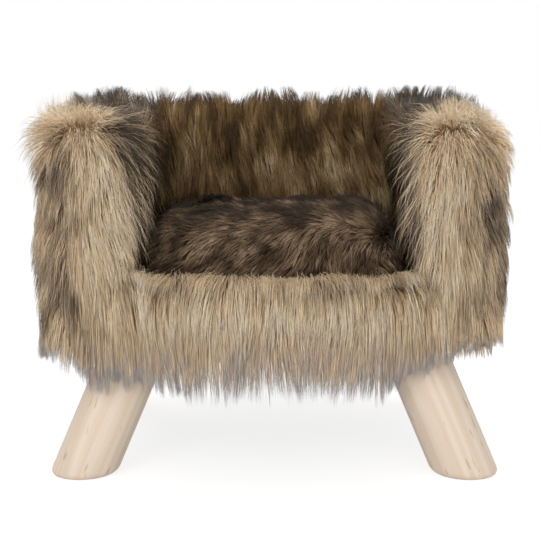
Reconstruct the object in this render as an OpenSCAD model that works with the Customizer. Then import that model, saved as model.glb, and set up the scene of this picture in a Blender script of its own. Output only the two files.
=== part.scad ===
// Fur-covered cat bed on four splayed legs: a low box sofa with a loose cushion.
// Front view: +X to the right, +Y to the back, +Z up, floor at Z zero, left means -X.

/* [Overall size] */
// Width over the fur of both arms
overall_w = 456; // [430:1:540]
// Depth over the fur, front to back
overall_d = 370; // [350:1:440]
// Height of the fur on the arms and back above the seat deck
wall_rise = 213; // [180:1:260]
// Height of the fur on the front rail above the seat deck
rail_rise = 59; // [56:1:90]
// Radius of every rounded fur edge
fur_r = 34; // [20:1:39]

/* [Fur cover] */
// Thickness of the fur cover, backing and standing pile together
cover_t = 25; // [22:1:36]
// Thickness of the pile on the rail's inner face, pressed flat by the cushion
rail_pile_t = 8; // [4:0.5:14]
// How far the fur hangs below the base board
skirt_drop = 26; // [14:1:34]
// Thickness of the fur's woven backing, which is turned under the board
backing_t = 1.5; // [1:0.1:2.5]
// Width of the backing that is turned under the board
hem_w = 20; // [12:1:26]

/* [Wooden frame] */
// Clear height under the base board
base_z = 138; // [120:1:170]
// Thickness of the base board
base_t = 12; // [9:0.5:18]
// Thickness of the upright panels
panel_t = 12; // [9:0.5:16]

/* [Foam] */
// Thickness of the foam pad on the inner side of each wall, and of the corner blocks
pad_t = 28; // [20:1:34]
// Thickness of the foam on top of each wall
cap_t = 10; // [6:1:14]

/* [Legs] */
// Diameter of a leg
leg_d = 63; // [40:1:66]
// Lean of a leg towards its side, in degrees
side_splay = 23; // [10:0.5:25]
// Lean of a leg towards the front or back, in degrees
end_splay = 8; // [0:0.5:10]
// Wood of the wedge that stands out round the leg's top
wedge_rim = 2.5; // [1:0.5:6]
// Depth of the wedge on the leg's axis
wedge_drop = 24; // [22:0.5:30]
// Distance from a wedge to the board's side edge
wedge_side_gap = 23; // [4:1:40]
// Distance from a wedge to the board's front or rear edge
wedge_end_gap = 2; // [1:0.5:8]

/* [Fixings] */
// Diameter of the bolt that holds a leg
bolt_d = 8; // [6:0.5:10]
// Length of the bolt inside the leg
bolt_in_leg = 34; // [24:1:50]
// Length of the bolt inside the wedge
bolt_in_wedge = 20; // [17:0.5:21]
// Wall of the threaded insert round the bolt
insert_wall = 2; // [1.5:0.1:3]
// Length of the threaded insert
insert_l = 15; // [10:0.5:16]
// Diameter of a wood screw
screw_d = 4; // [3:0.1:5]
// Length that a wood screw goes into a panel or wedge
screw_bite = 20; // [14:0.5:21]
// Diameter of a screw head
screw_head_d = 8; // [7:0.1:9.5]
// Depth of a screw head
screw_head_h = 3; // [2:0.1:4]
// Diameter of the staple wire
staple_wire = 1; // [0.8:0.1:1.4]
// Width of a staple
staple_w = 10; // [8:0.5:14]
// Length of a staple's legs
staple_l = 7; // [5:0.5:9]

/* [Deck and underside] */
// Thickness of the cloth on the seat deck
deck_t = 1.5; // [1:0.1:3]
// Thickness of the dust cover under the board
dust_t = 0.8; // [0.6:0.1:1.5]
// Distance from the dust cover's edge to the board's edge
dust_edge = 6; // [3:0.5:10]

/* [Cushion] */
// Height of the cushion at its crown
cushion_h = 108; // [90:1:124]
// Height of the cushion's widest line above its base
girth_h = 40; // [30:1:48]
// Thickness of the cushion's fur cover
cushion_fur_t = 12; // [9:0.5:16]
// Thickness of the cushion's plain base panel
cushion_base_t = 2; // [1:0.1:3]
// How far the cushion's sides are drawn in between its corners
side_pull = 3; // [0:0.5:6]
// Clearance round the cushion
cushion_gap = 0.5; // [0.4:0.1:3]
// Clearance under the cushion
rest_gap = 0.3; // [0.3:0.1:1]

/* [Zip] */
// Length of the zip's tape
zip_length = 180; // [120:1:190]
// Height of the zip's tape
zip_h = 22; // [16:1:24]
// Thickness of the zip's tape
zip_t = 1; // [0.6:0.1:1.5]
// Radius of the zip's coil
coil_r = 1.6; // [1.2:0.1:2]
// Depth of the pocket that the zip lies in
zip_pocket = 5; // [4:0.1:6]
// Length of the slider
slider_l = 10; // [8:0.5:14]
// Height of the slider
slider_h = 9; // [7:0.5:11]
// Thickness of the slider
slider_t = 4.4; // [3.9:0.1:5]

/* [Hidden] */
$fn = 64;

// Colours
pine = [0.87, 0.76, 0.62];
plywood = [0.80, 0.68, 0.50];
fur_beige = [0.70, 0.61, 0.49];
fur_brown = [0.40, 0.34, 0.27];
foam_cream = [0.93, 0.90, 0.80];
cloth_black = [0.12, 0.12, 0.12];
cloth_brown = [0.35, 0.30, 0.26];
fibre_white = [0.95, 0.95, 0.93];
steel = [0.72, 0.73, 0.75];

// Degrees in a circle
full_turn = 360;
// Overrun of every cut past the solid that it cuts
over = 1;
// Clearance of the seam where an arm cover meets the back cover
seam_gap = 0.1;
// How far a rounded cut goes past the flat face that it runs out into
crossing = 0.1;
// Clearance between a fixing and its hole
fix_gap = 0.1;
// Clearance of a round-edged cloth cut-out round a wedge
wedge_cut_gap = 1;
// Clearance of the slider on the coil
slider_gap = 0.3;

// Heights
deck_z = base_z + base_t;
top_z = deck_z + wall_rise;
rail_z = deck_z + rail_rise;
skirt_z = base_z - skirt_drop;
fur_h = top_z - skirt_z;
core_rise = wall_rise - cover_t;
rail_core_rise = rail_rise - cover_t;
panel_rise = core_rise - cap_t;
rail_panel_rise = rail_core_rise - cap_t;

// Walls, from the outer fur inwards
core_t = panel_t + pad_t;
wall_t = core_t + 2 * cover_t;
rail_t = core_t + cover_t + rail_pile_t;
rail_r = min(fur_r, rail_t / 2);
end_round_share = 0.94;
end_r = end_round_share * fur_r;
plan_round_share = 1.06;
plan_r = plan_round_share * fur_r;
board_w = overall_w - 2 * cover_t;
board_d = overall_d - 2 * cover_t;
seat_w = overall_w - 2 * wall_t;
seat_back_y = overall_d / 2 - wall_t;
seat_front_y = rail_t - overall_d / 2;
seat_d = seat_back_y - seat_front_y;
core_in_x = board_w / 2 - core_t;
core_in_y = board_d / 2 - core_t;
panel_in_x = board_w / 2 - panel_t;
panel_in_y = board_d / 2 - panel_t;

// Legs, as the rear right one stands
wedge_w = leg_d + 2 * wedge_rim;
leg_x = board_w / 2 - wedge_side_gap - wedge_w / 2;
leg_y = board_d / 2 - wedge_end_gap - wedge_w / 2;
leg_top_z = base_z - wedge_drop;
side_slope = tan(side_splay);
end_slope = tan(end_splay);
leg_turn = atan2(end_slope, side_slope);
leg_tilt = atan(norm([side_slope, end_slope]));
leg_reach = leg_top_z / cos(leg_tilt) + leg_d;

// Screws: places along the panels as shares of the board, and round a wedge as shares of it
side_screw_shares = [-0.35, 0, 0.35];
end_screw_shares = [-0.2, 0, 0.2];
rail_bite_share = 0.8;
wedge_screw_in_share = 0.36;
wedge_screw_out_shares = [-0.34, 0.34];

// Staples: places along the board's edges as shares of its length
long_staple_shares = [-0.16, -0.08, 0, 0.08, 0.16];
short_staple_shares = [-0.1, 0, 0.1];
staple_z = base_z - backing_t - dust_t;
staple_in = (hem_w + dust_edge) / 2;

// Cushion
cushion_w = seat_w - 2 * cushion_gap;
cushion_d = seat_d - 2 * cushion_gap;
cushion_y = (seat_back_y + seat_front_y) / 2;
cushion_z = deck_z + deck_t + rest_gap;
corner_share = 0.36;
foot_in_share = 0.14;
dome_share = 0.45;
crown_share = 0.86;
ring_points = 48;
low_steps = 4;
crown_steps = 8;

// Zip, in the middle of the cushion's rear face
zip_y = cushion_y + cushion_d / 2 - side_pull - zip_pocket;
zip_z = cushion_z + girth_h;
coil_y = zip_y + zip_t + coil_r / 2;
coil_l = zip_length - slider_l;
slider_rest_x = (slider_l - coil_l) / 2;

// Shapes that several pieces share

// Flat outline with its two top corners rounded, centred on X and standing on Y zero
module round_top(w, h, r) {
    translate([-w / 2, 0]) square([w, h - r]);
    translate([r - w / 2, 0]) square([w - 2 * r, h]);
    for (x = [r - w / 2, w / 2 - r])
        translate([x, h - r]) circle(r);
}

// Flat rectangle with four rounded corners, centred
module round_rect(w, d, r) {
    square([w - 2 * r, d], center = true);
    square([w, d - 2 * r], center = true);
    for (x = [r - w / 2, w / 2 - r], y = [r - d / 2, d / 2 - r])
        translate([x, y]) circle(r);
}

// Flat cut that rounds a corner at the origin, whose solid lies towards +X and -Y
module rim_cut(r) {
    difference() {
        translate([-over, -r]) square([r + over, r + over]);
        translate([r, -r]) circle(r);
    }
}

// Puts a flat outline drawn in X and Z upright and gives it a length along Y
module along_y(l) {
    rotate([90, 0, 0]) linear_extrude(height = l, center = true) children();
}

// Puts a flat outline drawn in Y and Z upright and gives it a length along X
module along_x(l) {
    rotate([90, 0, 90]) linear_extrude(height = l, center = true) children();
}

// Copies the rear right quarter's shape to the side sx and the end sy, each 1 or -1
module quarter(sx, sy) {
    mirror([sx < 0 ? 1 : 0, 0, 0]) mirror([0, sy < 0 ? 1 : 0, 0]) children();
}

module every_quarter() {
    for (sx = [-1, 1], sy = [-1, 1])
        quarter(sx, sy) children();
}

// Fur cover

// Whole outer form of the fur, with no seat in it
module outer_form() {
    intersection() {
        translate([0, 0, skirt_z]) linear_extrude(fur_h) round_rect(overall_w, overall_d, plan_r);
        along_y(overall_d + 2 * over) translate([0, skirt_z]) round_top(overall_w, fur_h, fur_r);
        along_x(overall_w + 2 * over) translate([0, skirt_z]) round_top(overall_d, fur_h, end_r);
    }
}

// Side view of the seat space: over the rail, up to the back, and open at the front
module seat_side_view() {
    difference() {
        union() {
            translate([-overall_d / 2 - over, deck_z])
                square([overall_d / 2 + over + seat_back_y, wall_rise + over]);
            translate([seat_back_y, top_z]) rim_cut(end_r);
        }
        translate([rail_t / 2 - overall_d / 2, skirt_z]) round_top(rail_t, rail_z - skirt_z, rail_r);
    }
}

// Front view of the space between the arms, flared where their tops are rounded
module seat_front_view() {
    translate([-seat_w / 2, skirt_z - over]) square([seat_w, fur_h + 2 * over]);
    for (side = [0, 1])
        mirror([side, 0]) translate([seat_w / 2, top_z]) rim_cut(fur_r);
}

// Cut that rounds the front edge of the right arm's inner side, down to the rail
module arm_front_cut() {
    intersection() {
        along_x(overall_w + 2 * over) seat_side_view();
        translate([seat_w / 2 - crossing, -overall_d / 2, deck_z]) linear_extrude(wall_rise + over)
            mirror([0, 1]) rim_cut(plan_r);
    }
}

// Space that the wood and foam take up inside the fur, with the hollow under the board
module core_space() {
    translate([-board_w / 2, -board_d / 2, skirt_z - over])
        cube([board_w, board_d, deck_z - skirt_z + over]);
    for (side = [0, 1])
        mirror([side, 0, 0]) translate([core_in_x, -board_d / 2, deck_z])
            cube([core_t, board_d, core_rise]);
    translate([-core_in_x, core_in_y, deck_z]) cube([2 * core_in_x, core_t, core_rise]);
    translate([-core_in_x, -board_d / 2, deck_z]) cube([2 * core_in_x, core_t, rail_core_rise]);
}

// Backing turned under the board's edge from the skirt, cut out round the wedges
module turned_hem() {
    difference() {
        translate([-board_w / 2 - backing_t, -board_d / 2 - backing_t, base_z - backing_t])
            cube([board_w + 2 * backing_t, board_d + 2 * backing_t, backing_t]);
        translate([hem_w - board_w / 2, hem_w - board_d / 2, base_z - backing_t - over])
            cube([board_w - 2 * hem_w, board_d - 2 * hem_w, backing_t + 2 * over]);
        wedge_cuts();
    }
}

// Room for the wedges in a cloth that lies under the board
module wedge_cuts() {
    cut_w = wedge_w + 2 * wedge_cut_gap;
    every_quarter()
        translate([leg_x - cut_w / 2, leg_y - cut_w / 2, leg_top_z])
            cube([cut_w, cut_w, wedge_drop + over]);
}

// Fur and turned hem that stand on an outline, with no seat cut out of them yet
module fur_block(outline) {
    difference() {
        intersection() {
            outer_form();
            translate([0, 0, skirt_z - over]) linear_extrude(fur_h + 2 * over) polygon(outline);
        }
        core_space();
    }
    intersection() {
        turned_hem();
        translate([0, 0, skirt_z - over]) linear_extrude(fur_h + 2 * over) polygon(outline);
    }
}

// Right arm cover, mitred where it meets the back cover
module arm_cover() {
    color(fur_beige) difference() {
        fur_block([
            [seat_w / 2 - over, -overall_d / 2 - over],
            [overall_w / 2 + over, -overall_d / 2 - over],
            [overall_w / 2 + over, overall_d / 2 + over - seam_gap],
            [seat_w / 2 - over, seat_back_y - over - seam_gap]
        ]);
        along_y(overall_d + 2 * over) seat_front_view();
        arm_front_cut();
    }
}

module back_cover() {
    color(fur_brown) difference() {
        fur_block([
            [seam_gap - seat_w / 2, seat_back_y],
            [seat_w / 2 - seam_gap, seat_back_y],
            [overall_w / 2 + over - seam_gap, overall_d / 2 + over],
            [seam_gap - overall_w / 2 - over, overall_d / 2 + over]
        ]);
        along_x(overall_w + 2 * over) seat_side_view();
    }
}

module front_cover() {
    color(fur_beige) difference() {
        fur_block([
            [-seat_w / 2, -overall_d / 2 - over],
            [seat_w / 2, -overall_d / 2 - over],
            [seat_w / 2, seat_front_y],
            [-seat_w / 2, seat_front_y]
        ]);
        along_x(overall_w + 2 * over) seat_side_view();
    }
}

// Wooden frame

// Wood screw that stands on its head, or its hole when it is given a gap
module wood_screw(l, gap = 0) {
    cylinder(d = screw_d + 2 * gap, h = l + gap);
    translate([0, 0, -over * (gap > 0 ? 1 : 0)])
        cylinder(d = screw_head_d + 2 * gap, h = screw_head_h + gap + over * (gap > 0 ? 1 : 0));
}

// Screws that go up through the board into the panels
module all_panel_screws(gap = 0) {
    for (side = [-1, 1], share = side_screw_shares)
        translate([side * (board_w - panel_t) / 2, share * board_d, base_z])
            wood_screw(base_t + screw_bite, gap);
    for (share = end_screw_shares) {
        translate([share * board_w, (board_d - panel_t) / 2, base_z])
            wood_screw(base_t + screw_bite, gap);
        translate([share * board_w, (panel_t - board_d) / 2, base_z])
            wood_screw(base_t + rail_bite_share * rail_panel_rise, gap);
    }
}

// Screws that go down through the board into the rear right wedge
module quarter_wedge_screws(gap = 0) {
    for (share = wedge_screw_out_shares)
        translate([leg_x - wedge_screw_in_share * wedge_w, leg_y + share * wedge_w, deck_z])
            mirror([0, 0, 1]) wood_screw(base_t + screw_bite, gap);
}

module base_board() {
    color(plywood) difference() {
        translate([-board_w / 2, -board_d / 2, base_z]) cube([board_w, board_d, base_t]);
        all_panel_screws(fix_gap);
        every_quarter() quarter_wedge_screws(fix_gap);
    }
}

module side_panel() {
    color(plywood) difference() {
        translate([panel_in_x, -board_d / 2, deck_z]) cube([panel_t, board_d, panel_rise]);
        all_panel_screws(fix_gap);
    }
}

module back_panel() {
    color(plywood) difference() {
        translate([-panel_in_x, panel_in_y, deck_z]) cube([2 * panel_in_x, panel_t, panel_rise]);
        all_panel_screws(fix_gap);
    }
}

module front_panel() {
    color(plywood) difference() {
        translate([-panel_in_x, -board_d / 2, deck_z])
            cube([2 * panel_in_x, panel_t, rail_panel_rise]);
        all_panel_screws(fix_gap);
    }
}

// Block glued into the rear right corner, or a lower one into a front corner
module corner_block(rise) {
    color(pine) translate([core_in_x, core_in_y, deck_z]) cube([pad_t, pad_t, rise]);
}

module panel_screws() {
    color(steel) all_panel_screws();
}

// Foam

// Foam of the right arm: an inner pad and a cap over the panel
module arm_foam() {
    color(foam_cream) difference() {
        union() {
            translate([core_in_x, -board_d / 2, deck_z])
                cube([pad_t, board_d - core_t, panel_rise]);
            translate([core_in_x, -board_d / 2, deck_z + panel_rise]) cube([core_t, board_d, cap_t]);
        }
        translate([core_in_x - over, -board_d / 2 - over, deck_z - over])
            cube([pad_t + 2 * over, core_t + over, rail_panel_rise + over]);
    }
}

// Foam of the back or the rail: a pad inside its panel and a cap over both
module end_foam(rise) {
    color(foam_cream) {
        translate([-core_in_x, core_in_y, deck_z]) cube([2 * core_in_x, pad_t, rise]);
        translate([-core_in_x, core_in_y, deck_z + rise]) cube([2 * core_in_x, core_t, cap_t]);
    }
}

// Cloths and staples

module seat_deck_cloth() {
    color(cloth_brown) translate([-seat_w / 2, seat_front_y, deck_z]) cube([seat_w, seat_d, deck_t]);
}

module dust_cover() {
    color(cloth_black) difference() {
        translate([dust_edge - board_w / 2, dust_edge - board_d / 2, staple_z])
            cube([board_w - 2 * dust_edge, board_d - 2 * dust_edge, dust_t]);
        wedge_cuts();
    }
}

// Staple driven upwards, its crown along X on Z zero
module staple() {
    translate([-staple_w / 2, -staple_wire / 2, -staple_wire])
        cube([staple_w, staple_wire, staple_wire]);
    for (x = [-staple_w / 2, staple_w / 2 - staple_wire])
        translate([x, -staple_wire / 2, -staple_wire])
            cube([staple_wire, staple_wire, staple_l + staple_wire]);
}

module staples() {
    color(steel) {
        for (end = [-1, 1], share = long_staple_shares)
            translate([share * board_w, end * (board_d / 2 - staple_in), staple_z]) staple();
        for (side = [-1, 1], share = short_staple_shares)
            translate([side * (board_w / 2 - staple_in), share * board_d, staple_z])
                rotate([0, 0, 90]) staple();
    }
}

// Legs

// Puts a shape on the rear right leg's axis, with its top at the origin and +Z up the axis
module on_leg_axis() {
    translate([leg_x, leg_y, leg_top_z]) rotate([0, -leg_tilt, leg_turn]) children();
}

// Hole for the bolt and its insert, through the wedge and into the leg
module bolt_hole() {
    on_leg_axis() {
        translate([0, 0, -bolt_in_leg - fix_gap])
            cylinder(d = bolt_d + 2 * fix_gap, h = bolt_in_leg + bolt_in_wedge + 2 * fix_gap);
        translate([0, 0, -over])
            cylinder(d = bolt_d + 2 * insert_wall + 2 * fix_gap, h = insert_l + fix_gap + over);
    }
}

// Wedge under the board's rear right corner, its lower face square to the leg
module wedge() {
    color(plywood) difference() {
        translate([leg_x - wedge_w / 2, leg_y - wedge_w / 2, leg_top_z - wedge_w / 2])
            cube([wedge_w, wedge_w, wedge_drop + wedge_w / 2]);
        on_leg_axis() translate([-wedge_w, -wedge_w, -2 * wedge_w])
            cube([2 * wedge_w, 2 * wedge_w, 2 * wedge_w]);
        bolt_hole();
        quarter_wedge_screws(fix_gap);
    }
}

// Round leg, cut level where it stands on the floor
module leg() {
    color(pine) difference() {
        on_leg_axis() translate([0, 0, -leg_reach]) cylinder(d = leg_d, h = leg_reach);
        translate([0, 0, -leg_reach]) cube([overall_w, overall_d, leg_reach]);
        on_leg_axis() translate([0, 0, -bolt_in_leg - fix_gap])
            cylinder(d = bolt_d + 2 * fix_gap, h = bolt_in_leg + fix_gap + over);
    }
}

module wedge_screws() {
    color(steel) every_quarter() quarter_wedge_screws();
}

module leg_inserts() {
    color(steel) every_quarter() on_leg_axis() difference() {
        cylinder(d = bolt_d + 2 * insert_wall, h = insert_l);
        translate([0, 0, -over]) cylinder(d = bolt_d + 2 * fix_gap, h = insert_l + 2 * over);
    }
}

module hanger_bolts() {
    color(steel) every_quarter() on_leg_axis() translate([0, 0, -bolt_in_leg])
        cylinder(d = bolt_d, h = bolt_in_leg + bolt_in_wedge);
}

// Cushion

function signed_pow(v, e) = sign(v) * pow(abs(v), e);

// Point of the cushion's plan at angle a: a soft rectangle whose sides are drawn in
function plan_point(a, w, d) =
    let (u = signed_pow(cos(a), corner_share), v = signed_pow(sin(a), corner_share))
    [u * (w / 2 - side_pull * (1 - v * v)), v * (d / 2 - side_pull * (1 - u * u))];

// Pairs of plan share and height, from the foot over the widest line to next to the crown
function cushion_steps(h) = concat(
    [for (k = [0 : low_steps]) let (a = 90 - 90 * k / low_steps)
        [1 - foot_in_share * (1 - cos(a)), cushion_base_t + (girth_h - cushion_base_t) * (1 - sin(a))]],
    [for (k = [1 : crown_steps - 1]) let (a = 90 * k / crown_steps)
        [pow(cos(a), dome_share), girth_h + (h - girth_h) * pow(sin(a), crown_share)]]
);

function cushion_points(w, d, h) = concat(
    [for (s = cushion_steps(h), k = [0 : ring_points - 1])
        let (p = plan_point(full_turn * k / ring_points, w, d)) [s[0] * p[0], s[0] * p[1], s[1]]],
    [[0, 0, h]]
);

// Triangles of the rings and the crown, for points that start at number first
function dome_faces(first, rings) = concat(
    [for (j = [0 : rings - 2], k = [0 : ring_points - 1])
        let (a = first + j * ring_points, n = (k + 1) % ring_points)
        [a + k, a + k + ring_points, a + n + ring_points]],
    [for (j = [0 : rings - 2], k = [0 : ring_points - 1])
        let (a = first + j * ring_points, n = (k + 1) % ring_points)
        [a + k, a + n + ring_points, a + n]],
    [for (k = [0 : ring_points - 1])
        let (a = first + (rings - 1) * ring_points, n = (k + 1) % ring_points)
        [a + k, a + ring_points, a + n]]
);

function turned(faces) = [for (f = faces) [f[2], f[1], f[0]]];

cushion_rings = low_steps + crown_steps;
shell_points = cushion_rings * ring_points + 1;

// Domed shell: the outer form, the inner form and the ring between their feet
module cushion_shell(t) {
    rim = concat(
        [for (k = [0 : ring_points - 1]) let (n = (k + 1) % ring_points)
            [k, n, shell_points + n]],
        [for (k = [0 : ring_points - 1]) let (n = (k + 1) % ring_points)
            [k, shell_points + n, shell_points + k]]
    );
    polyhedron(
        points = concat(
            cushion_points(cushion_w, cushion_d, cushion_h),
            cushion_points(cushion_w - 2 * t, cushion_d - 2 * t, cushion_h - t)
        ),
        faces = concat(
            dome_faces(0, cushion_rings), turned(dome_faces(shell_points, cushion_rings)), rim
        )
    );
}

// Solid that fills the shell, closed by a fan of triangles under it
module cushion_solid(t) {
    polyhedron(
        points = concat(
            cushion_points(cushion_w - 2 * t, cushion_d - 2 * t, cushion_h - t),
            [[0, 0, cushion_base_t]]
        ),
        faces = concat(
            dome_faces(0, cushion_rings),
            [for (k = [0 : ring_points - 1]) [k, (k + 1) % ring_points, shell_points]]
        )
    );
}

module cushion_cover() {
    color(fur_brown) difference() {
        translate([0, cushion_y, cushion_z]) cushion_shell(cushion_fur_t);
        translate([-zip_length / 2 - fix_gap, zip_y - fix_gap, zip_z - zip_h / 2 - fix_gap])
            cube([zip_length + 2 * fix_gap, zip_pocket + side_pull + over, zip_h + 2 * fix_gap]);
    }
}

module cushion_filling() {
    color(fibre_white) translate([0, cushion_y, cushion_z]) cushion_solid(cushion_fur_t);
}

module cushion_base_panel() {
    color(cloth_brown) translate([0, cushion_y, cushion_z]) linear_extrude(cushion_base_t)
        polygon([for (k = [0 : ring_points - 1])
            (1 - foot_in_share) * plan_point(full_turn * k / ring_points, cushion_w, cushion_d)]);
}

// Tape with the coil along its middle
module cushion_zip() {
    color(cloth_black) {
        translate([-zip_length / 2, zip_y, zip_z - zip_h / 2]) cube([zip_length, zip_t, zip_h]);
        translate([0, coil_y, zip_z]) rotate([0, 90, 0]) cylinder(r = coil_r, h = coil_l, center = true);
    }
}

// Slider with no tab, which straddles the coil
module zip_slider() {
    color(steel) translate([slider_rest_x, zip_y + zip_t + slider_gap, zip_z]) difference() {
        translate([-slider_l / 2, 0, -slider_h / 2]) cube([slider_l, slider_t, slider_h]);
        translate([-slider_l / 2 - over, -over, -coil_r - slider_gap])
            cube([slider_l + 2 * over, over + 3 * coil_r / 2, 2 * coil_r + 2 * slider_gap]);
    }
}

base_board();
mirror([1, 0, 0]) side_panel();  // left_side_panel
side_panel();  // right_side_panel
back_panel();
front_panel();
quarter(-1, -1) corner_block(rail_panel_rise);  // front_left_corner_block
quarter(1, -1) corner_block(rail_panel_rise);  // front_right_corner_block
quarter(-1, 1) corner_block(panel_rise);  // rear_left_corner_block
quarter(1, 1) corner_block(panel_rise);  // rear_right_corner_block
panel_screws();
mirror([1, 0, 0]) arm_foam();  // left_arm_foam
arm_foam();  // right_arm_foam
end_foam(panel_rise);  // back_foam
mirror([0, 1, 0]) end_foam(rail_panel_rise);  // front_foam
mirror([1, 0, 0]) arm_cover();  // left_arm_cover
arm_cover();  // right_arm_cover
back_cover();
front_cover();
seat_deck_cloth();
dust_cover();
staples();
quarter(-1, -1) wedge();  // front_left_wedge
quarter(1, -1) wedge();  // front_right_wedge
quarter(-1, 1) wedge();  // rear_left_wedge
quarter(1, 1) wedge();  // rear_right_wedge
wedge_screws();
leg_inserts();
hanger_bolts();
quarter(-1, -1) leg();  // front_left_leg
quarter(1, -1) leg();  // front_right_leg
quarter(-1, 1) leg();  // rear_left_leg
quarter(1, 1) leg();  // rear_right_leg
cushion_cover();
cushion_filling();
cushion_base_panel();
cushion_zip();
zip_slider();
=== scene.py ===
"""Fur-covered cat bed on four splayed legs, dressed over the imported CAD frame.

Every object is in metres. +X is to the right of the front view, +Y to the back and +Z up.
The fur is real geometry: closed, tapered strands that grow from a rounded backing.
"""

import contextlib
import math

import bmesh
import bpy
import numpy as np
from mathutils import Matrix, Vector, kdtree


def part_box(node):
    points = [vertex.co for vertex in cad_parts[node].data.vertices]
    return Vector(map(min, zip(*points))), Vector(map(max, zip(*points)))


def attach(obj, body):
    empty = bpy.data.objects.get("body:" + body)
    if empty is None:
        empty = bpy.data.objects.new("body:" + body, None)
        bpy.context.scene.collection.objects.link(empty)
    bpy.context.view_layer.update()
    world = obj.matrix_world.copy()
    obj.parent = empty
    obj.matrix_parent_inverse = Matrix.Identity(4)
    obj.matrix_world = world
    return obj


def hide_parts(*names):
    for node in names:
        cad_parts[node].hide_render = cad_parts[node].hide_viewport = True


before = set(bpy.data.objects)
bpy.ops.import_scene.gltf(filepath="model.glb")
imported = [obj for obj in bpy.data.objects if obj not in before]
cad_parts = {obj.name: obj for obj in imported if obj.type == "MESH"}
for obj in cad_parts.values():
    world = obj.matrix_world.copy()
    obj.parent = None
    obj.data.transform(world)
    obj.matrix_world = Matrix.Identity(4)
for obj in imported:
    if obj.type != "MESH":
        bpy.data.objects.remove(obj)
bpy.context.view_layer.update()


# Sizes, from the CAD frame and from the photograph


def box_of(*nodes):
    """The lowest and highest corners of the box round these CAD nodes."""
    corners = np.array([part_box(node) for node in nodes], float)
    return corners[:, 0].min(0), corners[:, 1].max(0)


BOARD_LOW, BOARD_HIGH = box_of("base_board")
ARM_LOW, ARM_HIGH = box_of("right_arm_foam", "right_side_panel")
BACK_LOW, BACK_HIGH = box_of("back_foam", "back_panel")
RAIL_LOW, RAIL_HIGH = box_of("front_foam", "front_panel")
SEAT_LOW, SEAT_HIGH = box_of("seat_deck_cloth")
CUSHION_LOW, CUSHION_HIGH = box_of("cushion_cover")
DUST_LOW, DUST_HIGH = box_of("dust_cover")
WEDGE_LOW, WEDGE_HIGH = box_of("rear_right_wedge")
PANEL_LOW, PANEL_HIGH = box_of("cushion_base_panel")
ZIP_LOW, ZIP_HIGH = box_of("cushion_zip")
ZIP_Z = (ZIP_LOW[2] + ZIP_HIGH[2]) / 2
SLIDER_LOW, SLIDER_HIGH = box_of("zip_slider")

CORE_ROUND = 0.007  # radius inside the core's corners that the backing is rounded about
BACKING_LIFT = 0.008  # backing's outer face over the wood and foam
BACKING_T = 0.002
BACKING_VOXEL = 0.005
HEM_Z = 0.1362  # where the backing is turned under
HEM_WIDTH = 0.020  # how far it reaches under the board
WEDGE_GAP = 0.001  # from the hem and the dust cover to a wedge
LOWEST_TIP_Z = 0.075
DENSITY = 1.0  # share of the strands that are grown

HIGHEST_TIP_Z = 0.3835
WIDEST_TIP = np.array([0.2512, 0.2054])  # how far the pile may reach to a side and to an end

WHORLS = np.array([[-0.200, -0.124, 0.376], [0.172, -0.126, 0.372]])  # left and right arm
WHORL_CORE = 0.042  # nearer to a whorl than this the pile stands up

# Dark streaks on the front of the arms: centre across and up, half size across and up, depth
DARK_STREAKS = (
    (-0.212, 0.305, 0.011, 0.036, 0.42),
    (-0.196, 0.290, 0.010, 0.038, 0.34),
    (-0.214, 0.225, 0.014, 0.036, 0.42),
    (-0.200, 0.182, 0.016, 0.022, 0.36),
    (-0.178, 0.212, 0.009, 0.030, 0.16),
    (-0.150, 0.172, 0.020, 0.018, 0.22),
    (0.206, 0.296, 0.012, 0.034, 0.30),
    (0.184, 0.262, 0.009, 0.034, 0.20),
    (0.216, 0.226, 0.010, 0.034, 0.32),
    (0.174, 0.212, 0.010, 0.028, 0.30),
    (0.196, 0.198, 0.018, 0.022, 0.24),
    (0.170, 0.178, 0.014, 0.020, 0.30),
)


# Colours and materials


def linear(red, green, blue):
    """An sRGB colour, 0 to 255, as the linear numbers that shaders take."""
    parts = np.array([red, green, blue], float) / 255
    low = parts / 12.92
    high = ((parts + 0.055) / 1.055) ** 2.4
    return (*np.where(parts <= 0.04045, low, high).tolist(), 1.0)


class Nodes:
    """The node tree of a material or a world, with short calls for the nodes used here."""

    def __init__(self, owner):
        owner.use_nodes = True
        self.nodes, self.links = owner.node_tree.nodes, owner.node_tree.links

    def feed(self, made, values):
        """Give a node's inputs these values, each of them plain or another node's output."""
        for key, value in values.items():
            if isinstance(value, bpy.types.NodeSocket):
                self.links.new(value, made.inputs[key])
            else:
                made.inputs[key].default_value = value
        return made

    def node(self, kind, values=None, **settings):
        made = self.nodes.new(kind)
        for key, value in settings.items():
            setattr(made, key, value)
        return self.feed(made, values or {})

    def maths(self, operation, *values):
        return self.node("ShaderNodeMath", dict(enumerate(values)), operation=operation).outputs[0]

    def mix(self, factor, first, second, blend="MIX"):
        values = {0: factor, 6: first, 7: second}
        return self.node("ShaderNodeMix", values, data_type="RGBA", blend_type=blend).outputs[2]


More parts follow.
